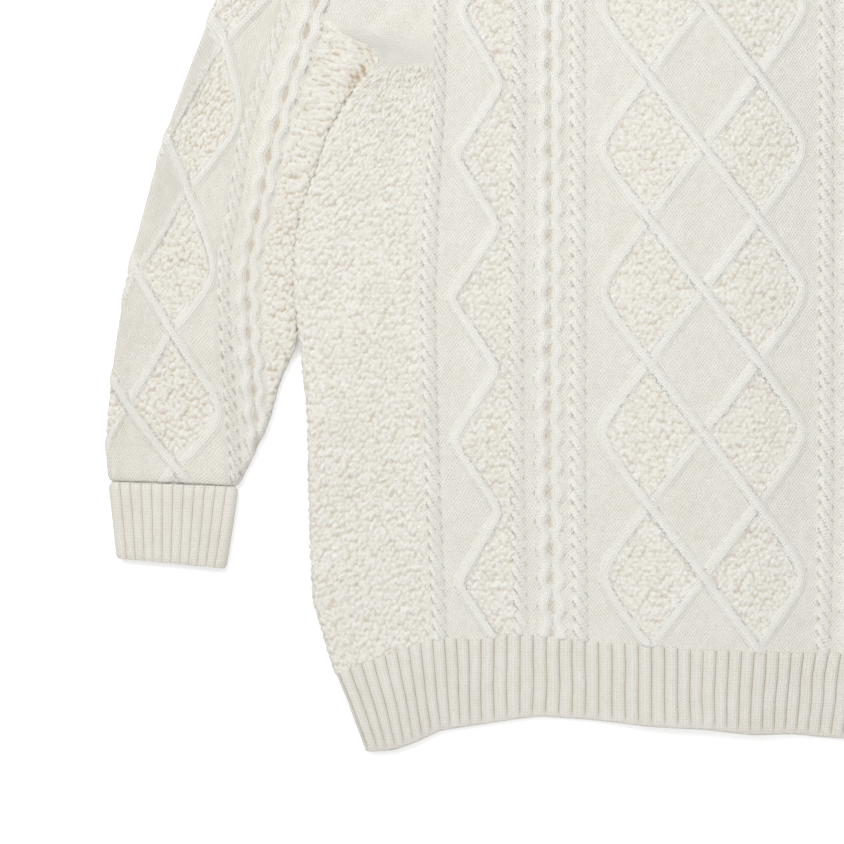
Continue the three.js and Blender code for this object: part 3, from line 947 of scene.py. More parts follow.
@dataclass
class KnitSurface:
    """One face of knitted cloth on a grid: its plain form, its normals and its stitches."""

    points: np.ndarray
    normals: np.ndarray
    stitches: Stitches
    relief: np.ndarray

    def flat_size(self) -> tuple[tuple[float, float], float]:
        """Measures the cut before any relief. The width is the widest row's area over its
        mean height, so that a slanting grid isn't counted as wider than its cloth.

        Returns:
            The width and length in metres, and the area in square metres.
        """
        across = np.linalg.norm(np.diff(self.points, axis=1), axis=2)
        along = np.linalg.norm(np.diff(self.points, axis=0), axis=2)
        a = self.points[1:, 1:] - self.points[:-1, :-1]
        b = self.points[1:, :-1] - self.points[:-1, 1:]
        strips = 0.5 * np.linalg.norm(np.cross(a, b), axis=2).sum(axis=1)
        width = min((strips / along.mean(axis=1)).max(), across.sum(axis=1).max())
        length = along.sum(axis=0).max()
        return (float(width * MM), float(length * MM)), float(strips.sum() * MM * MM)

    def mesh(self, name: str) -> bpy.types.Object:
        """Moves the points out by the relief and makes the mesh, its attributes and UVs. No
        point goes through the floor.

        Args:
            name: The piece's name.

        Returns:
            The piece, linked to the scene.
        """
        moved = self.points + self.normals * self.relief[..., None]
        rows, columns = moved.shape[:2]
        place = moved.reshape(-1, 3) + np.array([0.0, HEM_Y, 0.0])
        place[:, 2] = np.maximum(place[:, 2], 0.0)
        index = np.arange(rows * columns).reshape(rows, columns)
        quads = np.stack([index[:-1, :-1], index[:-1, 1:], index[1:, 1:], index[1:, :-1]], axis=-1)
        quads = quads.reshape(-1, 4)
        if self._faces_inwards():
            quads = quads[:, ::-1]
        data = bpy.data.meshes.new(name)
        data.vertices.add(len(place))
        data.vertices.foreach_set("co", (place * MM).astype(np.float32).ravel())
        data.loops.add(quads.size)
        data.loops.foreach_set("vertex_index", quads.astype(np.int32).ravel())
        data.polygons.add(len(quads))
        data.polygons.foreach_set("loop_start", np.arange(0, quads.size, 4, dtype=np.int32))
        data.update(calc_edges=True)
        self._write_attributes(data)
        self._write_uv(data, quads, rows, columns)
        data.shade_smooth()
        piece = bpy.data.objects.new(name, data)
        bpy.context.scene.collection.objects.link(piece)
        return piece

    def _faces_inwards(self) -> bool:
        """Compares the grid's own winding with the stated normals.

        Returns:
            Whether they point against each other.
        """
        along_row = self.points[:-1, 1:] - self.points[:-1, :-1]
        along_column = self.points[1:, :-1] - self.points[:-1, :-1]
        facing = np.cross(along_row, along_column)
        return float((facing * self.normals[:-1, :-1]).sum()) < 0

    def _write_attributes(self, data: bpy.types.Mesh) -> None:
        """Stores where each point is in the knitting, for the wool's nodes.

        Args:
            data: The mesh.
        """
        stitches = self.stitches
        zeros = np.zeros_like(stitches.across)
        vectors = {
            "chart": (stitches.stitch_x, stitches.stitch_y, zeros),
            "run": (stitches.run_along, stitches.run_across, zeros),
            "kinds": (stitches.moss, stitches.purl, stitches.cord),
        }
        for name, parts in vectors.items():
            values = np.stack(parts, axis=-1).astype(np.float32).ravel()
            data.attributes.new(name, "FLOAT_VECTOR", "POINT").data.foreach_set("vector", values)
        # depth: the relief's height less the painted shade; the wool's nodes paint low values darker and
        # values below 0 towards the crease colour.
        depth = np.clip(0.5 + 0.25 * stitches.height, 0.0, 1.0) - stitches.fold
        layer = data.attributes.new("depth", "FLOAT", "POINT")
        layer.data.foreach_set("value", depth.astype(np.float32).ravel())

    @staticmethod
    def _write_uv(data: bpy.types.Mesh, quads: np.ndarray, rows: int, columns: int) -> None:
        """Lays the grid out flat over the whole of one UV square.

        Args:
            data: The mesh.
            quads: The four points of each face.
            rows: Rows of the grid.
            columns: Columns of the grid.
        """
        corner = quads.ravel()
        u = (corner % columns) / (columns - 1)
        v = (corner // columns) / (rows - 1)
        layer = data.uv_layers.new(name="OFBake")
        layer.uv.foreach_set("vector", np.stack([u, v], axis=-1).astype(np.float32).ravel())


@dataclass
class Dresser:
    """Finishes pieces: attaches each to the root body, gives it the finish of its slot, hides the CAD nodes
    that it replaces and logs its cut size.
    """

    finishes: dict[str, bpy.types.Material]

    def dress(
        self, surface: KnitSurface, name: str, slot: str, nodes: tuple[str, ...]
    ) -> bpy.types.Object:
        """Args:
            surface: The cloth.
            name: The piece's name.
            slot: The record's material slot, which also names the finish.
            nodes: The CAD nodes that the piece stands for.

        Returns:
            The finished piece.
        """
        piece = surface.mesh(name)
        piece.data.materials.append(self.finishes[slot])
        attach(piece, "root")
        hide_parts(*nodes)
        flat, area = surface.flat_size()
        width, length = flat[0] / MM, flat[1] / MM
        LOG.info("%s: %d faces, %.0f x %.0f mm", name, len(piece.data.polygons), width, length)
        return piece


# ---------------------------------------------------------------- back and fronts

# The relief's level that lies on the plain cloth. How far the last row at a seam dives into
# the cloth, on the body and on the sleeves, so that no gap shows from the side. The highest
# relief of cloth that lies on the floor.
GROUND_LEVEL = 0.6
BODY_DIVE = 1.8
SLEEVE_DIVE = 2.0
FLOOR_RELIEF = 1.2


def pressed(relief: np.ndarray) -> np.ndarray:
    """The relief of cloth that lies on the floor: cut off at the top and moved into the cloth."""
    return np.minimum(relief, FLOOR_RELIEF) - FLOOR_RELIEF


@dataclass
class BodyPanels:
    """The back and the two fronts, each knitted from the one chart."""

    chart: BodyChart
    back_rows: int = 555
    front_rows: int = 206
    back_step: float = 1.13
    front_step: float = 3.1
    strip_edges: tuple[float, ...] = (76.5, 184.5)
    fold_rows: int = 4
    below_seam: float = 1.3

    def place(self, across: np.ndarray, y: np.ndarray) -> np.ndarray:
        """Where a chart column lies across the garment: straight stretches between the
        columns whose run down the cloth is known.

        Args:
            across: Places across the chart.
            y: Heights above the hem.

        Returns:
            The distance from the garment's middle at each place.
        """
        distance = np.abs(across)
        knots = [0.0, self.chart.rope_two, self.chart.chain, self.chart.rope_one, CHART_EDGE]
        lines = [np.zeros_like(y), rope_two_line(y), chain_line(y), rope_one_line(y),
                 half_width(y) - FOLD_RADIUS]
        x = np.zeros_like(y)
        for low, high, start, end in zip(knots[:-1], knots[1:], lines[:-1], lines[1:]):
            x = x + np.clip((distance - low) / (high - low), 0.0, 1.0) * (end - start)
        return x * np.sign(across)

    def surface(
        self, columns: np.ndarray, row_count: int, neckline: Neckline, faces_up: bool
    ) -> KnitSurface:
        """The cloth over some columns of the chart, from the rib's seam to the top edge.

        Args:
            columns: Places across the chart.
            row_count: Number of rows of the grid.
            neckline: Which neckline cuts the panel.
            faces_up: True for the back, False for the fronts.

        Returns:
            The panel's outer face.
        """
        share = np.concatenate([np.linspace(0.0, 1.0, row_count), np.ones(self.fold_rows)])
        turn = np.concatenate([np.zeros(row_count), np.linspace(0.0, 1.0, self.fold_rows + 1)[1:]])
        across, share = np.meshgrid(columns, share)
        turn = np.broadcast_to(turn[:, None], across.shape)
        on_chart = np.clip(across, -CHART_EDGE, CHART_EDGE)
        foot = self.place(on_chart, np.full_like(across, RIB_TOP - 10.0))
        bottom = seam_line(foot) - self.below_seam
        top = top_edge(across, neckline) - FOLD_RADIUS
        y = bottom + share * (top - bottom)
        flat_edge = half_width(y) - FOLD_RADIUS
        x = self.place(on_chart, y)
        side = np.sign(across)
        reach = np.clip(np.abs(across) - CHART_EDGE, 0.0, FOLD_LENGTH) / FOLD_LENGTH
        fold = side_fold(y)
        side_angle = reach * fold * np.pi / 2
        out = fold * FOLD_RADIUS * np.sin(side_angle) + (1 - fold) * FOLD_RADIUS * reach
        over = smoothstep(NECK_HALF - 5.0, NECK_HALF + 5.0, np.abs(x))
        top_angle = turn * over * np.pi / 2
        up = over * FOLD_RADIUS * np.sin(top_angle) + (1 - over) * FOLD_RADIUS * turn
        drop = FOLD_RADIUS * (2.0 - np.cos(side_angle) - np.cos(top_angle))
        level = back_underside(x, y, flat_edge) + WALL if faces_up else front_underside(x)
        sign = 1.0 if faces_up else -1.0
        z = level - sign * drop
        points = np.stack([x + side * out, y + up, z], axis=-1)
        normals = np.stack([side * np.sin(side_angle), np.sin(top_angle),
                            sign * np.cos(side_angle) * np.cos(top_angle)], axis=-1)
        stitches = self.chart.knit(across, y + up)
        edge = smoothstep(0.0, 1.0, reach) * (1 - fold) + 0.35 * reach * fold
        seam = np.exp(-(((y - bottom) / 1.2) ** 2)) + turn * (1 - over)
        relief = (stitches.height - GROUND_LEVEL) * (1 - 0.8 * np.clip(edge + turn, 0, 1))
        relief = relief - np.clip(seam, 0, 1) - 1.2 * edge - BODY_DIVE * (share == 0.0)
        if faces_up:
            relief = relief - crease_depth(x, y, BODY_CREASES) + 0.5 * ripple(x, y, 48.0, 0.9)
            # Painted shadow at the underarm's pinch: colour only, the back's relief is not changed here.
            pinch = np.clip(crease_depth(np.abs(x), y, UNDERARM_PINCH_SHADE), 0.0, 1.0)
            stitches.fold = stitches.fold * (1 - 0.8 * pinch) + 0.5 * pinch
        else:
            relief = pressed(relief)
        return KnitSurface(points, normals, stitches, relief)

    def columns(self, start: float, end: float, step: float) -> np.ndarray:
        """Evenly spaced places across the chart, with both ends kept."""
        return np.linspace(start, end, max(2, round(abs(end - start) / step) + 1))

    def build(self, dresser: Dresser) -> None:
        """Makes the back in five strips that meet in the gutters, then the two fronts.
        """
        inner, outer = self.strip_edges
        edge = CHART_EDGE + FOLD_LENGTH
        strips = {
            "back_lattice": (-inner, inner),
            "back_left_cables": (-outer, -inner),
            "back_right_cables": (inner, outer),
            "back_left_side": (-edge, -outer),
            "back_right_side": (outer, edge),
        }
        for name, (start, end) in strips.items():
            columns = self.columns(start, end, self.back_step)
            surface = self.surface(columns, self.back_rows, Neckline.BACK, True)
            dresser.dress(surface, name, "cable_knit", ("back",))
        for name, side in (("left_front", -1.0), ("right_front", 1.0)):
            columns = self.columns(side * (BAND_HALF + SEAM_GAP), side * edge, self.front_step)
            surface = self.surface(columns, self.front_rows, Neckline.FRONT, False)
            dresser.dress(surface, name + "_knit", "cable_knit", (name,))


@dataclass
class HemRibs:
    """The deep ribs below the back and the fronts, drawn in towards the hem."""

    pitch: float = 8.7
    half_shares: tuple[float, ...] = (0.0, 0.25, 0.58, 1.0)
    halves: tuple[float, ...] = (224.6, 229.2, 235.4, 245.0)
    seam_half: float = 253.5
    left_pull_start: float = 150.0
    right_pull_start: float = -15.0
    pull_power: float = 1.2
    lip_rows: int = 7
    back_rows: int = 26
    front_rows: int = 16

    def surface(self, start: float, end: float, rows: int, faces_up: bool) -> KnitSurface:
        """The rib between two places across the garment, with its hem turned under.

        Args:
            start: First place across at the seam.
            end: Last place across at the seam, further right.
            rows: Rows from the hem's edge to the seam.
            faces_up: True for the back, False for the fronts.

        Returns:
            The rib's outer face.
        """
        columns = rib_columns(start / self.pitch, end / self.pitch) * self.pitch
        lip_turn = np.linspace(1.0, 0.0, self.lip_rows + 1)[:-1]
        share = np.concatenate([np.zeros(self.lip_rows), np.linspace(0.0, 0.99, rows - 1), [1.0]])
        turn = np.concatenate([lip_turn, np.zeros(rows)])
        across, share = np.meshgrid(columns, share)
        turn = np.broadcast_to(turn[:, None], across.shape)
        fold_start = self.seam_half - FOLD_RADIUS
        side = np.sign(across)
        reach = np.clip(np.abs(across) - fold_start, 0.0, FOLD_LENGTH) / FOLD_LENGTH
        inside = np.clip(across, -fold_start, fold_start)
        half = np.interp(share, self.half_shares, self.halves)
        flat_edge = half - FOLD_RADIUS
        left_share = (-inside - self.left_pull_start) / (fold_start - self.left_pull_start)
        right_share = (inside - self.right_pull_start) / (fold_start - self.right_pull_start)
        left = -np.clip(left_share, 0, 1) ** self.pull_power
        right = np.clip(right_share, 0, 1) ** self.pull_power
        sway = 0.9 * soft_noise(across / 3.0, 24.0 * share, 9.0, 8.0)
        sway = sway * np.sin(np.pi * np.clip(share, 0.2, 1.0))
        pull = left + right
        x = inside - (self.seam_half - half) * pull + sway
        hem = hem_line(x)
        top = seam_line(inside - (self.seam_half - self.halves[-1]) * pull) - 0.2
        y = hem + share * (top - hem)
        level = back_underside(x, y, flat_edge) + WALL if faces_up else front_underside(x)
        sign = 1.0 if faces_up else -1.0
        side_angle = reach * np.pi / 2
        out = FOLD_RADIUS * np.sin(side_angle)
        lip_radius = WALL / 2
        lip_angle = turn * np.pi
        y = y + lip_radius * (1 - np.sin(lip_angle))
        z = level - sign * (FOLD_RADIUS * (1 - np.cos(side_angle)) + lip_radius * (1 - np.cos(lip_angle)))
        points = np.stack([x + side * out, y, z], axis=-1)
        normals = np.stack([side * np.sin(side_angle), -np.sin(lip_angle),
                            sign * np.cos(side_angle) * np.cos(lip_angle)], axis=-1)
        stitches = rib_stitches(across / self.pitch, y, self.pitch)
        near_lip = 1.0 - smoothstep(1.5, 4.5, y - hem)
        # No painted shade in the rib's gaps next to the turned lip.
        stitches.fold = stitches.fold * (1.0 - near_lip)
        near_seam = np.exp(-(((1 - share) / 0.03) ** 2))
        relief = 0.2 + (stitches.height - 0.7) * (1 - 0.9 * near_lip) * (1 - 0.5 * reach)
        relief = relief - 0.5 * near_seam - BODY_DIVE * (share == 1.0)
        relief = relief + 0.35 * near_lip * np.sin(np.pi * np.clip((y - hem) / 5.0, 0, 1))
        if faces_up:
            relief = relief + 0.6 * ripple(x, y, 30.0, 2.1)
        else:
            relief = pressed(relief)
        return KnitSurface(points, normals, stitches, relief)

    def build(self, dresser: Dresser) -> None:
        """Makes the three hem ribs.
        """
        edge = self.seam_half - FOLD_RADIUS + FOLD_LENGTH
        back = self.surface(-edge, edge, self.back_rows, True)
        dresser.dress(back, "back_hem_knit", "rib_knit", ("back_hem_rib",))
        for name, side in (("left_hem_rib", -1.0), ("right_hem_rib", 1.0)):
            start, end = sorted((side * (BAND_HALF + SEAM_GAP), side * edge))
            surface = self.surface(start, end, self.front_rows, False)
            dresser.dress(surface, name + "_knit", "rib_knit", (name,))


# ---------------------------------------------------------------- sleeves and cuffs

# The sleeve's outer and inner edges, from the shoulder and the underarm down to the cuff, as
# distances from the middle and heights. The bow says how far a row follows the armhole, and
# the tables' rows are smoothed at this step.
SLEEVE_OUTER_X = [254.9, 279, 303.5, 325.5, 346, 362, 374, 385.3, 392, 395.5, 398, 399, 397.5]
SLEEVE_OUTER_Y = [690, 628, 560, 500, 448, 404, 360, 318, 275, 248, 222, 200, 180.5]
SLEEVE_INNER_X = [218.6, 231, 241.5, 251.7, 259.5, 269.6, 274, 274.2, 271, 282.5, 288.5, 300, 309.5]
SLEEVE_INNER_Y = [462, 446, 430, 412, 388, 362, 334, 305, 271, 246, 221, 198, 177]
SLEEVE_BOW = [1, 0.88, 0.7, 0.5, 0.33, 0.2, 0.1, 0, 0, 0, 0, 0, 0]
TABLE_STEP = 10.0

# The cuff's two edges: shares of the way down it and distances from the middle, and the
# heights of their ends.
CUFF_PLACES = [0, 0.45, 0.8, 1]
CUFF_OUTER_X = [397, 394.5, 392.5, 391.5]
CUFF_INNER_X = [310, 313.5, 316.5, 318.5]
CUFF_OUTER_ENDS = [180.2, 129.0]
CUFF_INNER_ENDS = [176.7, 122.0]

# Lines that run down the sleeve: for each, its place on the chart and its distance from the
# garment's middle at these heights.
SLEEVE_HEIGHTS = [120, 200, 237, 255, 280, 312, 334, 370, 403, 433, 484, 600, 700]
SLEEVE_LINES = {
    0.0: [384, 384.5, 383.5, 382.5, 381.5, 379, 374.5, 366.5, 358.5, 351, 339, 302, 262],
    32.25: [354, 355.5, 357, 357.4, 357.3, 354.5, 352, 347.5, 340, 333, 319, 281, 246],
    64.5: [317, 320.1, 323.8, 325, 326.2, 327.4, 326, 319.2, 315, 306.3, 289.2, 254, 222],
    74.9: [309, 312.3, 316, 317.4, 318.9, 320.3, 318.9, 312.3, 308.5, 300, 283, 247, 213],
    93.0: [293, 296, 300, 300.8, 302.9, 304.4, 302.2, 294.5, 288.5, 280.2, 263, 228, 196],
    103.5: [283, 286.5, 290.5, 291.5, 293.5, 295, 292.5, 285, 279, 270, 252, 217, 186],
}
# Rows of the lattice: for three places across, the height of the middle row and how the
# height grows with the number of rows and with its square.
SLEEVE_ROWS = {0.0: (319.3, 88.5, 0.3), 32.25: (327.0, 94.4, 2.1), 64.5: (321.6, 95.9, 2.5)}
SLEEVE_ROW_RANGE = (-3.0, 5.0)

# The sleeve is moved a little towards the shade colour all over, warmer and darker, and it dips at the
# underarm's pinch, where shadow is painted too. Its inner fold is tucked under the back's rounded side, and
# its corner further.
SLEEVE_WARMTH = 0.2
PINCH_DEPTH = 2.6
EDGE_TUCK = 2.0
CORNER_TUCK = 4.5

SLEEVE_CREASES = [
    (248, 478, 262, 420, 8.0, 1.2),
    (300, 560, 262, 470, 12.0, 0.8),
    (312, 196, 330, 260, 9.0, 0.9),
    (388, 205, 372, 268, 9.0, 0.8),
    (350, 186, 352, 236, 8.0, 0.7),
    (364, 330, 336, 392, 13.0, 0.6),
]


@dataclass
class Sleeve:
    """A sleeve and its cuff: a flattened tube of cloth lying beside the body."""

    name: str
    side: float
    rows: int = 352
    top_columns: int = 108
    under_columns: int = 36
    arc_columns: int = 5
    cuff_ribs: int = 11
    cuff_rows: int = 26
    cuff_pitch: float = 7.3
    cuff_relief: float = 1.1

    def profile(self, top: np.ndarray, under: np.ndarray) -> tuple[np.ndarray, ...]:
        """The tube's section as one closed line: along the top, round the inner edge, back
        underneath and round the outer edge.

        Args:
            top: Places of the columns along the top, from 0 to 1.
            under: Places of the columns along the underside, from 0 to 1.

        Returns:
            For each column, the share across the flat part, the reach beyond it, the
            height, the two parts of the normal, across and up, and the quarter of the
            section, which grows from 0 to 4.
        """
        arc = np.linspace(0.0, np.pi, 2 * self.arc_columns + 1)[1:-1]
        over, below = np.ones_like(top), np.ones_like(under)
        share = [top, np.ones_like(arc), 1.0 - under, np.zeros_like(arc)]
        reach = [0 * over, FOLD_RADIUS * np.sin(arc), 0 * below, -FOLD_RADIUS * np.sin(arc)]
        middle = FOLDED_HEIGHT / 2
        height = [2 * middle * over, middle * (1 + np.cos(arc)), 0 * below, middle * (1 - np.cos(arc))]
        across = [0 * over, np.sin(arc), 0 * below, -np.sin(arc)]
        up = [over, np.cos(arc), -below, -np.cos(arc)]
        quarter = [top, 1.0 + arc / np.pi, 2.0 + under, 3.0 + arc / np.pi]
        lists = (share, reach, height, across, up, quarter)
        parts = [np.append(np.concatenate(part), part[0][0]) for part in lists]
        parts[-1][-1] = 4.0
        return tuple(parts)

    def stations(self) -> tuple[np.ndarray, ...]:
        """Smooths the edges' tables at evenly spaced rows down the sleeve. Beside the body
        the inner edge follows the body's own side, and its table below that.

        Returns:
            Outer x and y, inner x and y, and bow, one value a row.
        """
        places = np.arange(len(SLEEVE_OUTER_X)) * TABLE_STEP
        tables = (SLEEVE_OUTER_X, SLEEVE_OUTER_Y, SLEEVE_INNER_X, SLEEVE_INNER_Y, SLEEVE_BOW)
        fine = np.linspace(0.0, places[-1], 1200)
        lines = [Curve(list(places), table, 5)(fine) for table in tables]
        middle_x = (lines[0] + lines[2]) / 2
        middle_y = (lines[1] + lines[3]) / 2
        step = np.hypot(np.diff(middle_x), np.diff(middle_y))
        run = np.concatenate([[0.0], np.cumsum(step)])
        rows = np.interp(np.linspace(0, run[-1], self.rows), run, fine)
        outer_x, outer_y, inner_x, inner_y, bow = [np.interp(rows, fine, line) for line in lines]
        beside = 1.0 - smoothstep(7.2 * TABLE_STEP, 8.4 * TABLE_STEP, rows)
        against_body = half_width(inner_y) - EDGE_TUCK - CORNER_TUCK * smoothstep(438.0, 460.0, inner_y)
        inner_x = beside * against_body + (1 - beside) * inner_x
        return outer_x, outer_y, inner_x, inner_y, bow

    def lay(self, edges: tuple[np.ndarray, ...], section: tuple[np.ndarray, ...]) -> tuple[np.ndarray, ...]:
        """Lays the section across each row.

        Args:
            edges: Outer x and y, inner x and y, and bow, one value a row.
            section: The closed section from profile.

        Returns:
            The points and normals of the tube.
        """
        outer_x, outer_y, inner_x, inner_y, bow = [edge[:, None] for edge in edges]
        share, reach, height, across, up, _ = [part[None, :] for part in section]
        run_x, run_y = inner_x - outer_x, inner_y - outer_y
        width = np.hypot(run_x, run_y)
        inset = FOLD_RADIUS / width
        flat = inset + share * (1 - 2 * inset)
        seam_y = SHOULDER_END - flat * (SHOULDER_END - UNDERARM)
        seam_x = half_width(seam_y)
        chord_x = half_width(SHOULDER_END) + flat * (half_width(UNDERARM) - half_width(SHOULDER_END))
        rows = np.arange(len(outer_x))[:, None]
        ease = 1.0 - smoothstep(0.82, 1.0, flat) * smoothstep(0.0, 14.0, rows)
        x = outer_x + (flat + reach / width) * run_x + bow * ease * (seam_x - chord_x)
        y = outer_y + (flat + reach / width) * run_y
        z = np.broadcast_to(height, x.shape).copy()
        sink = 2.0 * np.sin(np.pi * share) ** 2 * (up > 0.5)
        z = z - sink * np.minimum(1.0, rows / 60.0)
        points = np.stack([self.side * x, y, z], axis=-1)
        normal_x = across * run_x / width
        normal_y = across * run_y / width
        normals = np.stack([self.side * normal_x, normal_y, np.broadcast_to(up, x.shape)], axis=-1)
        return points, normals

    def chart_place(
        self, points: np.ndarray, outer_x: np.ndarray, under: np.ndarray
    ) -> tuple[np.ndarray, np.ndarray]:
        """Where each point lies on the sleeve's chart. A point of the underside is first
        opened out past the outer fold.

        Args:
            points: The tube's points.
            outer_x: The outer fold's distance from the middle, for each point.
            under: Whether each point is on the underside.

        Returns:
            Distance across and along the chart.
        """
        y = points[..., 1]
        distance = self.side * points[..., 0]
        opened = np.where(under, 2 * outer_x - distance, distance)
        places = list(SLEEVE_LINES)
        lines = [Curve(SLEEVE_HEIGHTS, line, 14)(y) for line in SLEEVE_LINES.values()]
        across = np.minimum(lines[0] - opened, 0.0) / 0.7 + np.maximum(lines[-1] - opened, 0.0)
        for low, high, start, end in zip(places[:-1], places[1:], lines[:-1], lines[1:]):
            across = across + (high - low) * np.clip((start - opened) / (start - end), 0.0, 1.0)
        numbers = np.linspace(*SLEEVE_ROW_RANGE, 60)
        columns = [np.interp(y, start + step * numbers + bend * numbers**2, numbers)
                   for start, step, bend in SLEEVE_ROWS.values()]
        half = list(SLEEVE_ROWS)[1]
        first = np.clip(across / half, -2.0, 1.0)
        second = np.clip(across / half - 1.0, 0.0, 2.0)
        row = columns[0] + first * (columns[1] - columns[0]) + second * (columns[2] - columns[1])
        return -self.side * across, row * ROW_PERIOD

    def sleeve_surface(self) -> KnitSurface:
        """The sleeve from the armhole to the cuff.

        Returns:
            The sleeve's outer face.
        """
        edges = self.stations()
        top_places = np.linspace(0, 1, self.top_columns)
        section = self.profile(top_places, np.linspace(0, 1, self.under_columns))
        points, normals = self.lay(edges, section)
        under = np.broadcast_to(section[4][None, :] < -0.01, points.shape[:2])
        fold_x = np.interp(points[..., 1], SLEEVE_OUTER_Y[::-1], SLEEVE_OUTER_X[::-1])
        across, along = self.chart_place(points, fold_x, under)
        stitches = SleeveChart().knit(across, along)
        x, y = self.side * points[..., 0], points[..., 1]
        relief = (stitches.height - GROUND_LEVEL) * (1 - 0.6 * np.abs(normals[..., 0]))
        rows = np.arange(points.shape[0])[:, None]
        last = points.shape[0] - 1
        seam = np.exp(-((rows / 3.0) ** 2)) + np.exp(-(((rows - last) / 2.5) ** 2))
        relief = relief * (1 - 0.5 * np.clip(seam, 0, 1)) - 1.3 * seam - SLEEVE_DIVE * (rows == last)
        top = section[4][None, :] > 0.5
        pinch = np.clip(crease_depth(x, y, UNDERARM_PINCH_SHADE), 0.0, 1.0)
        relief = relief * (1 - 0.7 * pinch)
        creases = crease_depth(x, y, SLEEVE_CREASES) + PINCH_DEPTH * pinch
        relief = relief + top * (0.5 * ripple(x, y, 40.0, 3.3) - creases)
        # Painted shade: the pinch's shadow, the stitches' own painted shade, and SLEEVE_WARMTH, which moves
        # the whole sleeve a little towards the shade colour.
        stitches.fold = 0.75 * stitches.fold * (1 - pinch) + 0.62 * pinch + SLEEVE_WARMTH
        on_floor = section[4][None, :] < -0.9
        relief = np.where(under, np.minimum(relief, FLOOR_RELIEF) - FLOOR_RELIEF * on_floor, relief)
        return KnitSurface(points, normals, stitches, relief)

    def cuff_surface(self) -> KnitSurface:
        """The ribbed cuff, its ribs flattened towards its end and its last row set in by 0.8 mm.

        Returns:
            The cuff's outer face.
        """
        share = np.linspace(0.0, 1.0, self.cuff_rows)
        outer_x = np.interp(share, CUFF_PLACES, CUFF_OUTER_X)
        outer_y = np.interp(share, [0, 1], CUFF_OUTER_ENDS)
        inner_x = np.interp(share, CUFF_PLACES, CUFF_INNER_X)
        inner_y = np.interp(share, [0, 1], CUFF_INNER_ENDS)
        places = (rib_columns(0.5, self.cuff_ribs + 0.5) - 0.5) / self.cuff_ribs
        section = self.profile(places, places)
        points, normals = self.lay((outer_x, outer_y, inner_x, inner_y, 0 * share), section)
        turns = np.cumsum([0, self.cuff_ribs, 2, self.cuff_ribs, 2])
        ribs = np.broadcast_to(0.5 + np.interp(section[5], range(5), turns), points.shape[:2])
        stitches = rib_stitches(ribs, points[..., 1], self.cuff_pitch, self.cuff_relief)
        near_seam = np.exp(-((share / 0.05) ** 2))[:, None]
        near_end = smoothstep(0.92, 1.0, share)[:, None]
        end = (share == 1.0)[:, None]
        fold = np.abs(normals[..., 0])
        relief = (stitches.height - GROUND_LEVEL) * (1 - 0.85 * near_end) * (1 - 0.5 * fold)
        relief = relief - near_seam - 0.8 * end - SLEEVE_DIVE * (share == 0.0)[:, None]
        relief = np.where(section[4][None, :] < -0.9, pressed(relief), relief)
        return KnitSurface(points, normals, stitches, relief)

    def build(self, dresser: Dresser) -> None:
        """Makes the sleeve and its cuff.
        """
        for part, slot, surface in (
            ("sleeve", "cable_knit", self.sleeve_surface()),
            ("cuff", "rib_knit", self.cuff_surface()),
        ):
            node = f"{self.name}_{part}"
            dresser.dress(surface, node + "_knit", slot, (node,))


# ---------------------------------------------------------------- bands and neckband


@dataclass
class Bands:
    """The two front bands: ribs that run the length of the fronts."""

    pitch: float = 7.5
    rib_height: float = 1.0
    rows: int = 150
    flat_columns: int = 24
    arc_columns: int = 6

    def surface(self, rest: float) -> KnitSurface:
        """A band's strip, wrapped round its two long edges.

        Args:
            rest: Height of the band's lower face.

        Returns:
            The band's face.
        """
        half, middle = BAND_HALF - WALL / 2, rest + WALL / 2
        arc = np.linspace(0.0, np.pi, self.arc_columns + 2)[1:-1]
        flat = np.linspace(-half, half, self.flat_columns)
        level, none = np.ones_like(flat), np.zeros_like(flat)
        bulge = WALL / 2 * np.sin(arc)
        x = np.concatenate([flat, half + bulge, flat[::-1], -half - bulge, flat[:1]])
        z = np.concatenate([-level, -np.cos(arc), level, np.cos(arc), [-1.0]])
        normal_x = np.concatenate([none, np.sin(arc), none, -np.sin(arc), [0.0]])
        share = np.linspace(0.0, 1.0, self.rows)[:, None]
        bottom = hem_line(x)[None, :]
        y = bottom + share * (BAND_TOP - bottom)
        across, up, facing = [np.broadcast_to(part, y.shape) for part in (x, z, normal_x)]
        points = np.stack([across, y, middle + up * WALL / 2], axis=-1)
        normals = np.stack([facing, np.zeros_like(y), up], axis=-1)
        stitches = rib_stitches(across / self.pitch + 0.5, y, self.pitch, self.rib_height)
        return KnitSurface(points, normals, stitches, stitches.height * 0.5 - 0.55)

    def build(self, dresser: Dresser) -> None:
        """Makes the buttonhole band and the button band above it.
        """
        buttons = [f"button_{number}" for number in range(1, 7)]
        for node, rest, below in (
            ("buttonhole_band", BUTTONHOLE_BAND_REST, buttons),
            ("button_band", BUTTON_BAND_REST, ["buttonhole_band"]),
        ):
            dresser.dress(self.surface(rest), node + "_knit", "rib_knit", (node,))


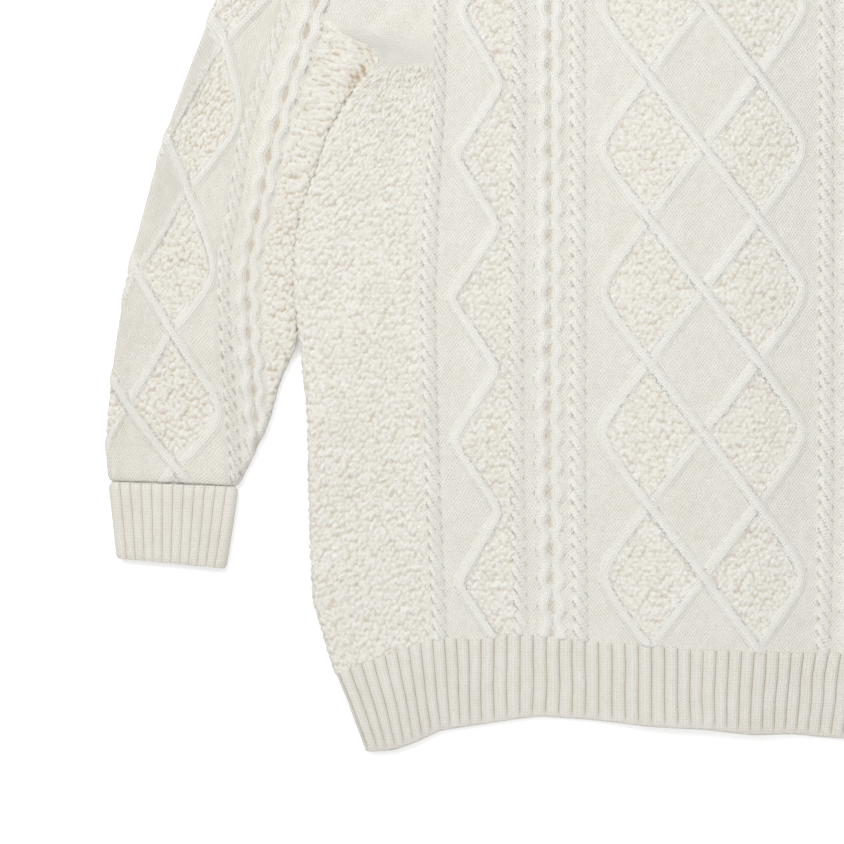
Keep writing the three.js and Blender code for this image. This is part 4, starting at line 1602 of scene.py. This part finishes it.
@dataclass
class Neckband:
    """The ribbed band round the neck, flattened with the garment."""

    pitch: float = 7.6
    rib_height: float = 1.7
    station_step: float = 0.9
    flat_columns: int = 16
    lip_columns: int = 7
    turn_stations: int = 7
    fold_x: float = 84.65
    fold_lean: float = 27.0

    def path(self) -> tuple[np.ndarray, ...]:
        """The band's seam edge, from the left front round the back to the right front.

        Returns:
            For each station, its x, y and height, its lean inwards, and the angle of its
            outer face, from straight down to straight up.
        """
        places = np.array([15.6, 25, 36, 47, 58, 66, 74, 80, self.fold_x])
        front_lean = np.interp(places, [15, 36, 58, 74, 85], [0, 15, 32, 38, self.fold_lean])
        back_lean = np.interp(places, [15, 36, 58, 74, 85], [1, 3, 7, 14, self.fold_lean])
        turn = np.linspace(-np.pi / 2, np.pi / 2, self.turn_stations + 2)[1:-1]
        radius = FOLD_RADIUS - WALL / 2
        down, still = np.full_like(places, -np.pi / 2), np.ones_like(turn)
        back_y = Neckline.BACK.height(places)
        back_z = back_underside(places, back_y, np.full_like(places, 1000.0)) + WALL / 2
        x = np.concatenate([places, self.fold_x + radius * np.cos(turn), places[::-1]])
        y = np.concatenate([Neckline.FRONT.height(places), NECK_POINT * still, back_y[::-1]]) + 0.35
        lean = np.concatenate([front_lean, self.fold_lean * still, back_lean[::-1]])
        angle = np.concatenate([down, turn, -down])
        sides = []
        for side in (-1.0, 1.0):
            front_z = front_underside(side * places) + WALL / 2
            fold_z = FOLDED_HEIGHT / 2 + (radius + SEAM_GAP / 2) * np.sin(turn)
            z = np.concatenate([front_z, fold_z, back_z[::-1]])
            sides.append([side * x, y, z, -side * lean, np.where(side < 0, np.pi - angle, angle)])
        left, right = sides
        return tuple(np.concatenate([a, b[::-1]]) for a, b in zip(left, right))

    def surface(self) -> KnitSurface:
        """The band's outer face and its rounded free edge.

        Returns:
            The band's face.
        """
        x, y, z, lean, angle = self.path()
        step = np.sqrt(np.diff(x) ** 2 + np.diff(y) ** 2 + np.diff(z) ** 2)
        run = np.concatenate([[0.0], np.cumsum(step)])
        fine = np.arange(0.0, run[-1], self.station_step)
        x, y, z, lean, angle = [np.interp(fine, run, part)[:, None] for part in (x, y, z, lean, angle)]
        flat_depth = NECKBAND_DEPTH - WALL / 2
        reach = np.linspace(0.0, flat_depth, self.flat_columns)
        reach = np.append(reach, np.full(self.lip_columns, flat_depth))[None, :]
        lip = np.linspace(0.0, np.pi, self.lip_columns + 1)[1:]
        turn = np.concatenate([np.zeros(self.flat_columns), lip])[None, :]
        out = WALL / 2 * np.cos(turn)
        length = reach + WALL / 2 * np.sin(turn)
        along_x, along_y = np.sin(np.radians(lean)), np.cos(np.radians(lean))
        normal_x, normal_z = np.cos(angle), np.sin(angle)
        points = np.stack([x + along_x * length + normal_x * out, y + along_y * length + 0 * out,
                           z + normal_z * out + 0 * length], axis=-1)
        normals = np.stack([normal_x * np.cos(turn) + along_x * np.sin(turn),
                            along_y * np.sin(turn) + 0 * x, normal_z * np.cos(turn)], axis=-1)
        ribs = (fine[:, None] + 0 * length) / self.pitch
        stitches = rib_stitches(ribs, length + 0 * x, self.pitch, self.rib_height)
        near_seam = np.exp(-((length / 1.8) ** 2))
        relief = (stitches.height - GROUND_LEVEL) * (1 - 0.4 * np.sin(turn)) - near_seam
        return KnitSurface(points, normals, stitches, relief)

    def build(self, dresser: Dresser) -> None:
        """Makes the neckband."""
        dresser.dress(self.surface(), "neckband_knit", "rib_knit", ("neckband",))


# ---------------------------------------------------------------- studio


@dataclass
class Studio:
    """A plain white surface, soft light and a camera straight above the cloth."""

    view_x: float = -0.1873
    view_y: float = 0.22 + HEM_Y * MM
    lens: float = 85.0
    field: float = 0.5627
    floor_reach: float = 4.0
    floor_emission: float = 0.42
    world_strength: float = 0.5

    def build(self) -> None:
        """Makes the floor, the lights, the world and the camera."""
        self._floor()
        self._lights()
        self._camera()

    def _floor(self) -> None:
        """A large white sheet that stays white to the camera and keeps soft shadows."""
        data = bpy.data.meshes.new("floor")
        corners = [(x * self.floor_reach, y * self.floor_reach, 0) for x, y in
                   ((-1, -1), (1, -1), (1, 1), (-1, 1))]
        data.from_pydata(corners, [], [(0, 1, 2, 3)])
        floor = bpy.data.objects.new("floor", data)
        bpy.context.scene.collection.objects.link(floor)
        sheet = NodeSheet("floor_white")
        path = sheet.add("ShaderNodeLightPath")
        seen = sheet.math("MAXIMUM", path.outputs["Is Camera Ray"], path.outputs["Is Glossy Ray"])
        data.materials.append(sheet.finish({
            "Base Color": (0.8, 0.8, 0.8, 1.0),
            "Roughness": 0.9,
            "Emission Color": (1.0, 1.0, 1.0, 1.0),
            "Emission Strength": sheet.math("MULTIPLY", seen, self.floor_emission),
        }))

    def _lights(self) -> None:
        """One broad lamp from the upper left, a weaker one opposite, and a pale world."""
        for name, place, size, power in (
            ("key", (-1.05, 0.9, 1.95), 1.2, 31.0),
            ("fill", (1.1, -0.9, 2.0), 1.8, 12.0),
        ):
            lamp = bpy.data.lights.new(name, "AREA")
            lamp.shape = "DISK"
            lamp.size = size
            lamp.energy = power
            holder = bpy.data.objects.new(name, lamp)
            holder.location = place
            target = Vector((self.view_x, self.view_y, 0.0))
            holder.rotation_euler = (target - holder.location).to_track_quat("-Z", "Y").to_euler()
            bpy.context.scene.collection.objects.link(holder)
        world = bpy.data.worlds.new("world")
        world.use_nodes = True
        background = world.node_tree.nodes["Background"]
        background.inputs["Color"].default_value = (1.0, 1.0, 1.0, 1.0)
        path = world.node_tree.nodes.new("ShaderNodeLightPath")
        strength = world.node_tree.nodes.new("ShaderNodeMath")
        strength.operation = "MULTIPLY_ADD"
        strength.inputs[1].default_value = 1.0 - self.world_strength
        strength.inputs[2].default_value = self.world_strength
        world.node_tree.links.new(path.outputs["Is Camera Ray"], strength.inputs[0])
        world.node_tree.links.new(strength.outputs[0], background.inputs["Strength"])
        bpy.context.scene.world = world

    def _camera(self) -> None:
        """A camera above the lower left of the garment, looking straight down."""
        data = bpy.data.cameras.new("camera")
        data.lens = self.lens
        distance = self.lens / data.sensor_width * self.field
        camera = bpy.data.objects.new("camera", data)
        camera.location = (self.view_x, self.view_y, distance + FOLDED_HEIGHT * MM)
        bpy.context.scene.collection.objects.link(camera)
        bpy.context.scene.camera = camera


def dress_buttons(material: bpy.types.Material) -> None:
    """Gives the buttons, whose CAD shape is right, their finish.

    Args:
        material: The finish.
    """
    for name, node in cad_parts.items():
        if name.removeprefix("button_").isdigit():
            node.data.materials.clear()
            node.data.materials.append(material)


def main() -> None:
    """Builds every piece of the cardigan in order, and the studio round it."""
    logging.basicConfig(level=logging.INFO, format="%(name)s: %(message)s")
    bpy.context.scene.view_settings.view_transform = "Standard"
    # Each wool's three colours: its own pale colour, a painted shade colour for low places, and a warm
    # brown painted shadow colour for deep creases, gaps and pits.
    cable_wool = KnitFinish("cable_wool", srgb(243, 242, 237), srgb(216, 210, 196), srgb(176, 150, 118))
    rib_wool = KnitFinish("rib_wool", srgb(238, 236, 230), srgb(206, 198, 182), srgb(160, 146, 124))
    dresser = Dresser({"cable_knit": cable_wool.material(), "rib_knit": rib_wool.material()})
    BodyPanels(BodyChart()).build(dresser)
    HemRibs().build(dresser)
    Sleeve("left", -1.0).build(dresser)
    Sleeve("right", 1.0).build(dresser)
    Bands().build(dresser)
    Neckband().build(dresser)
    dress_buttons(ButtonFinish(srgb(176, 150, 112), srgb(222, 206, 172)).material())
    Studio().build()


if __name__ == "__main__":
    main()
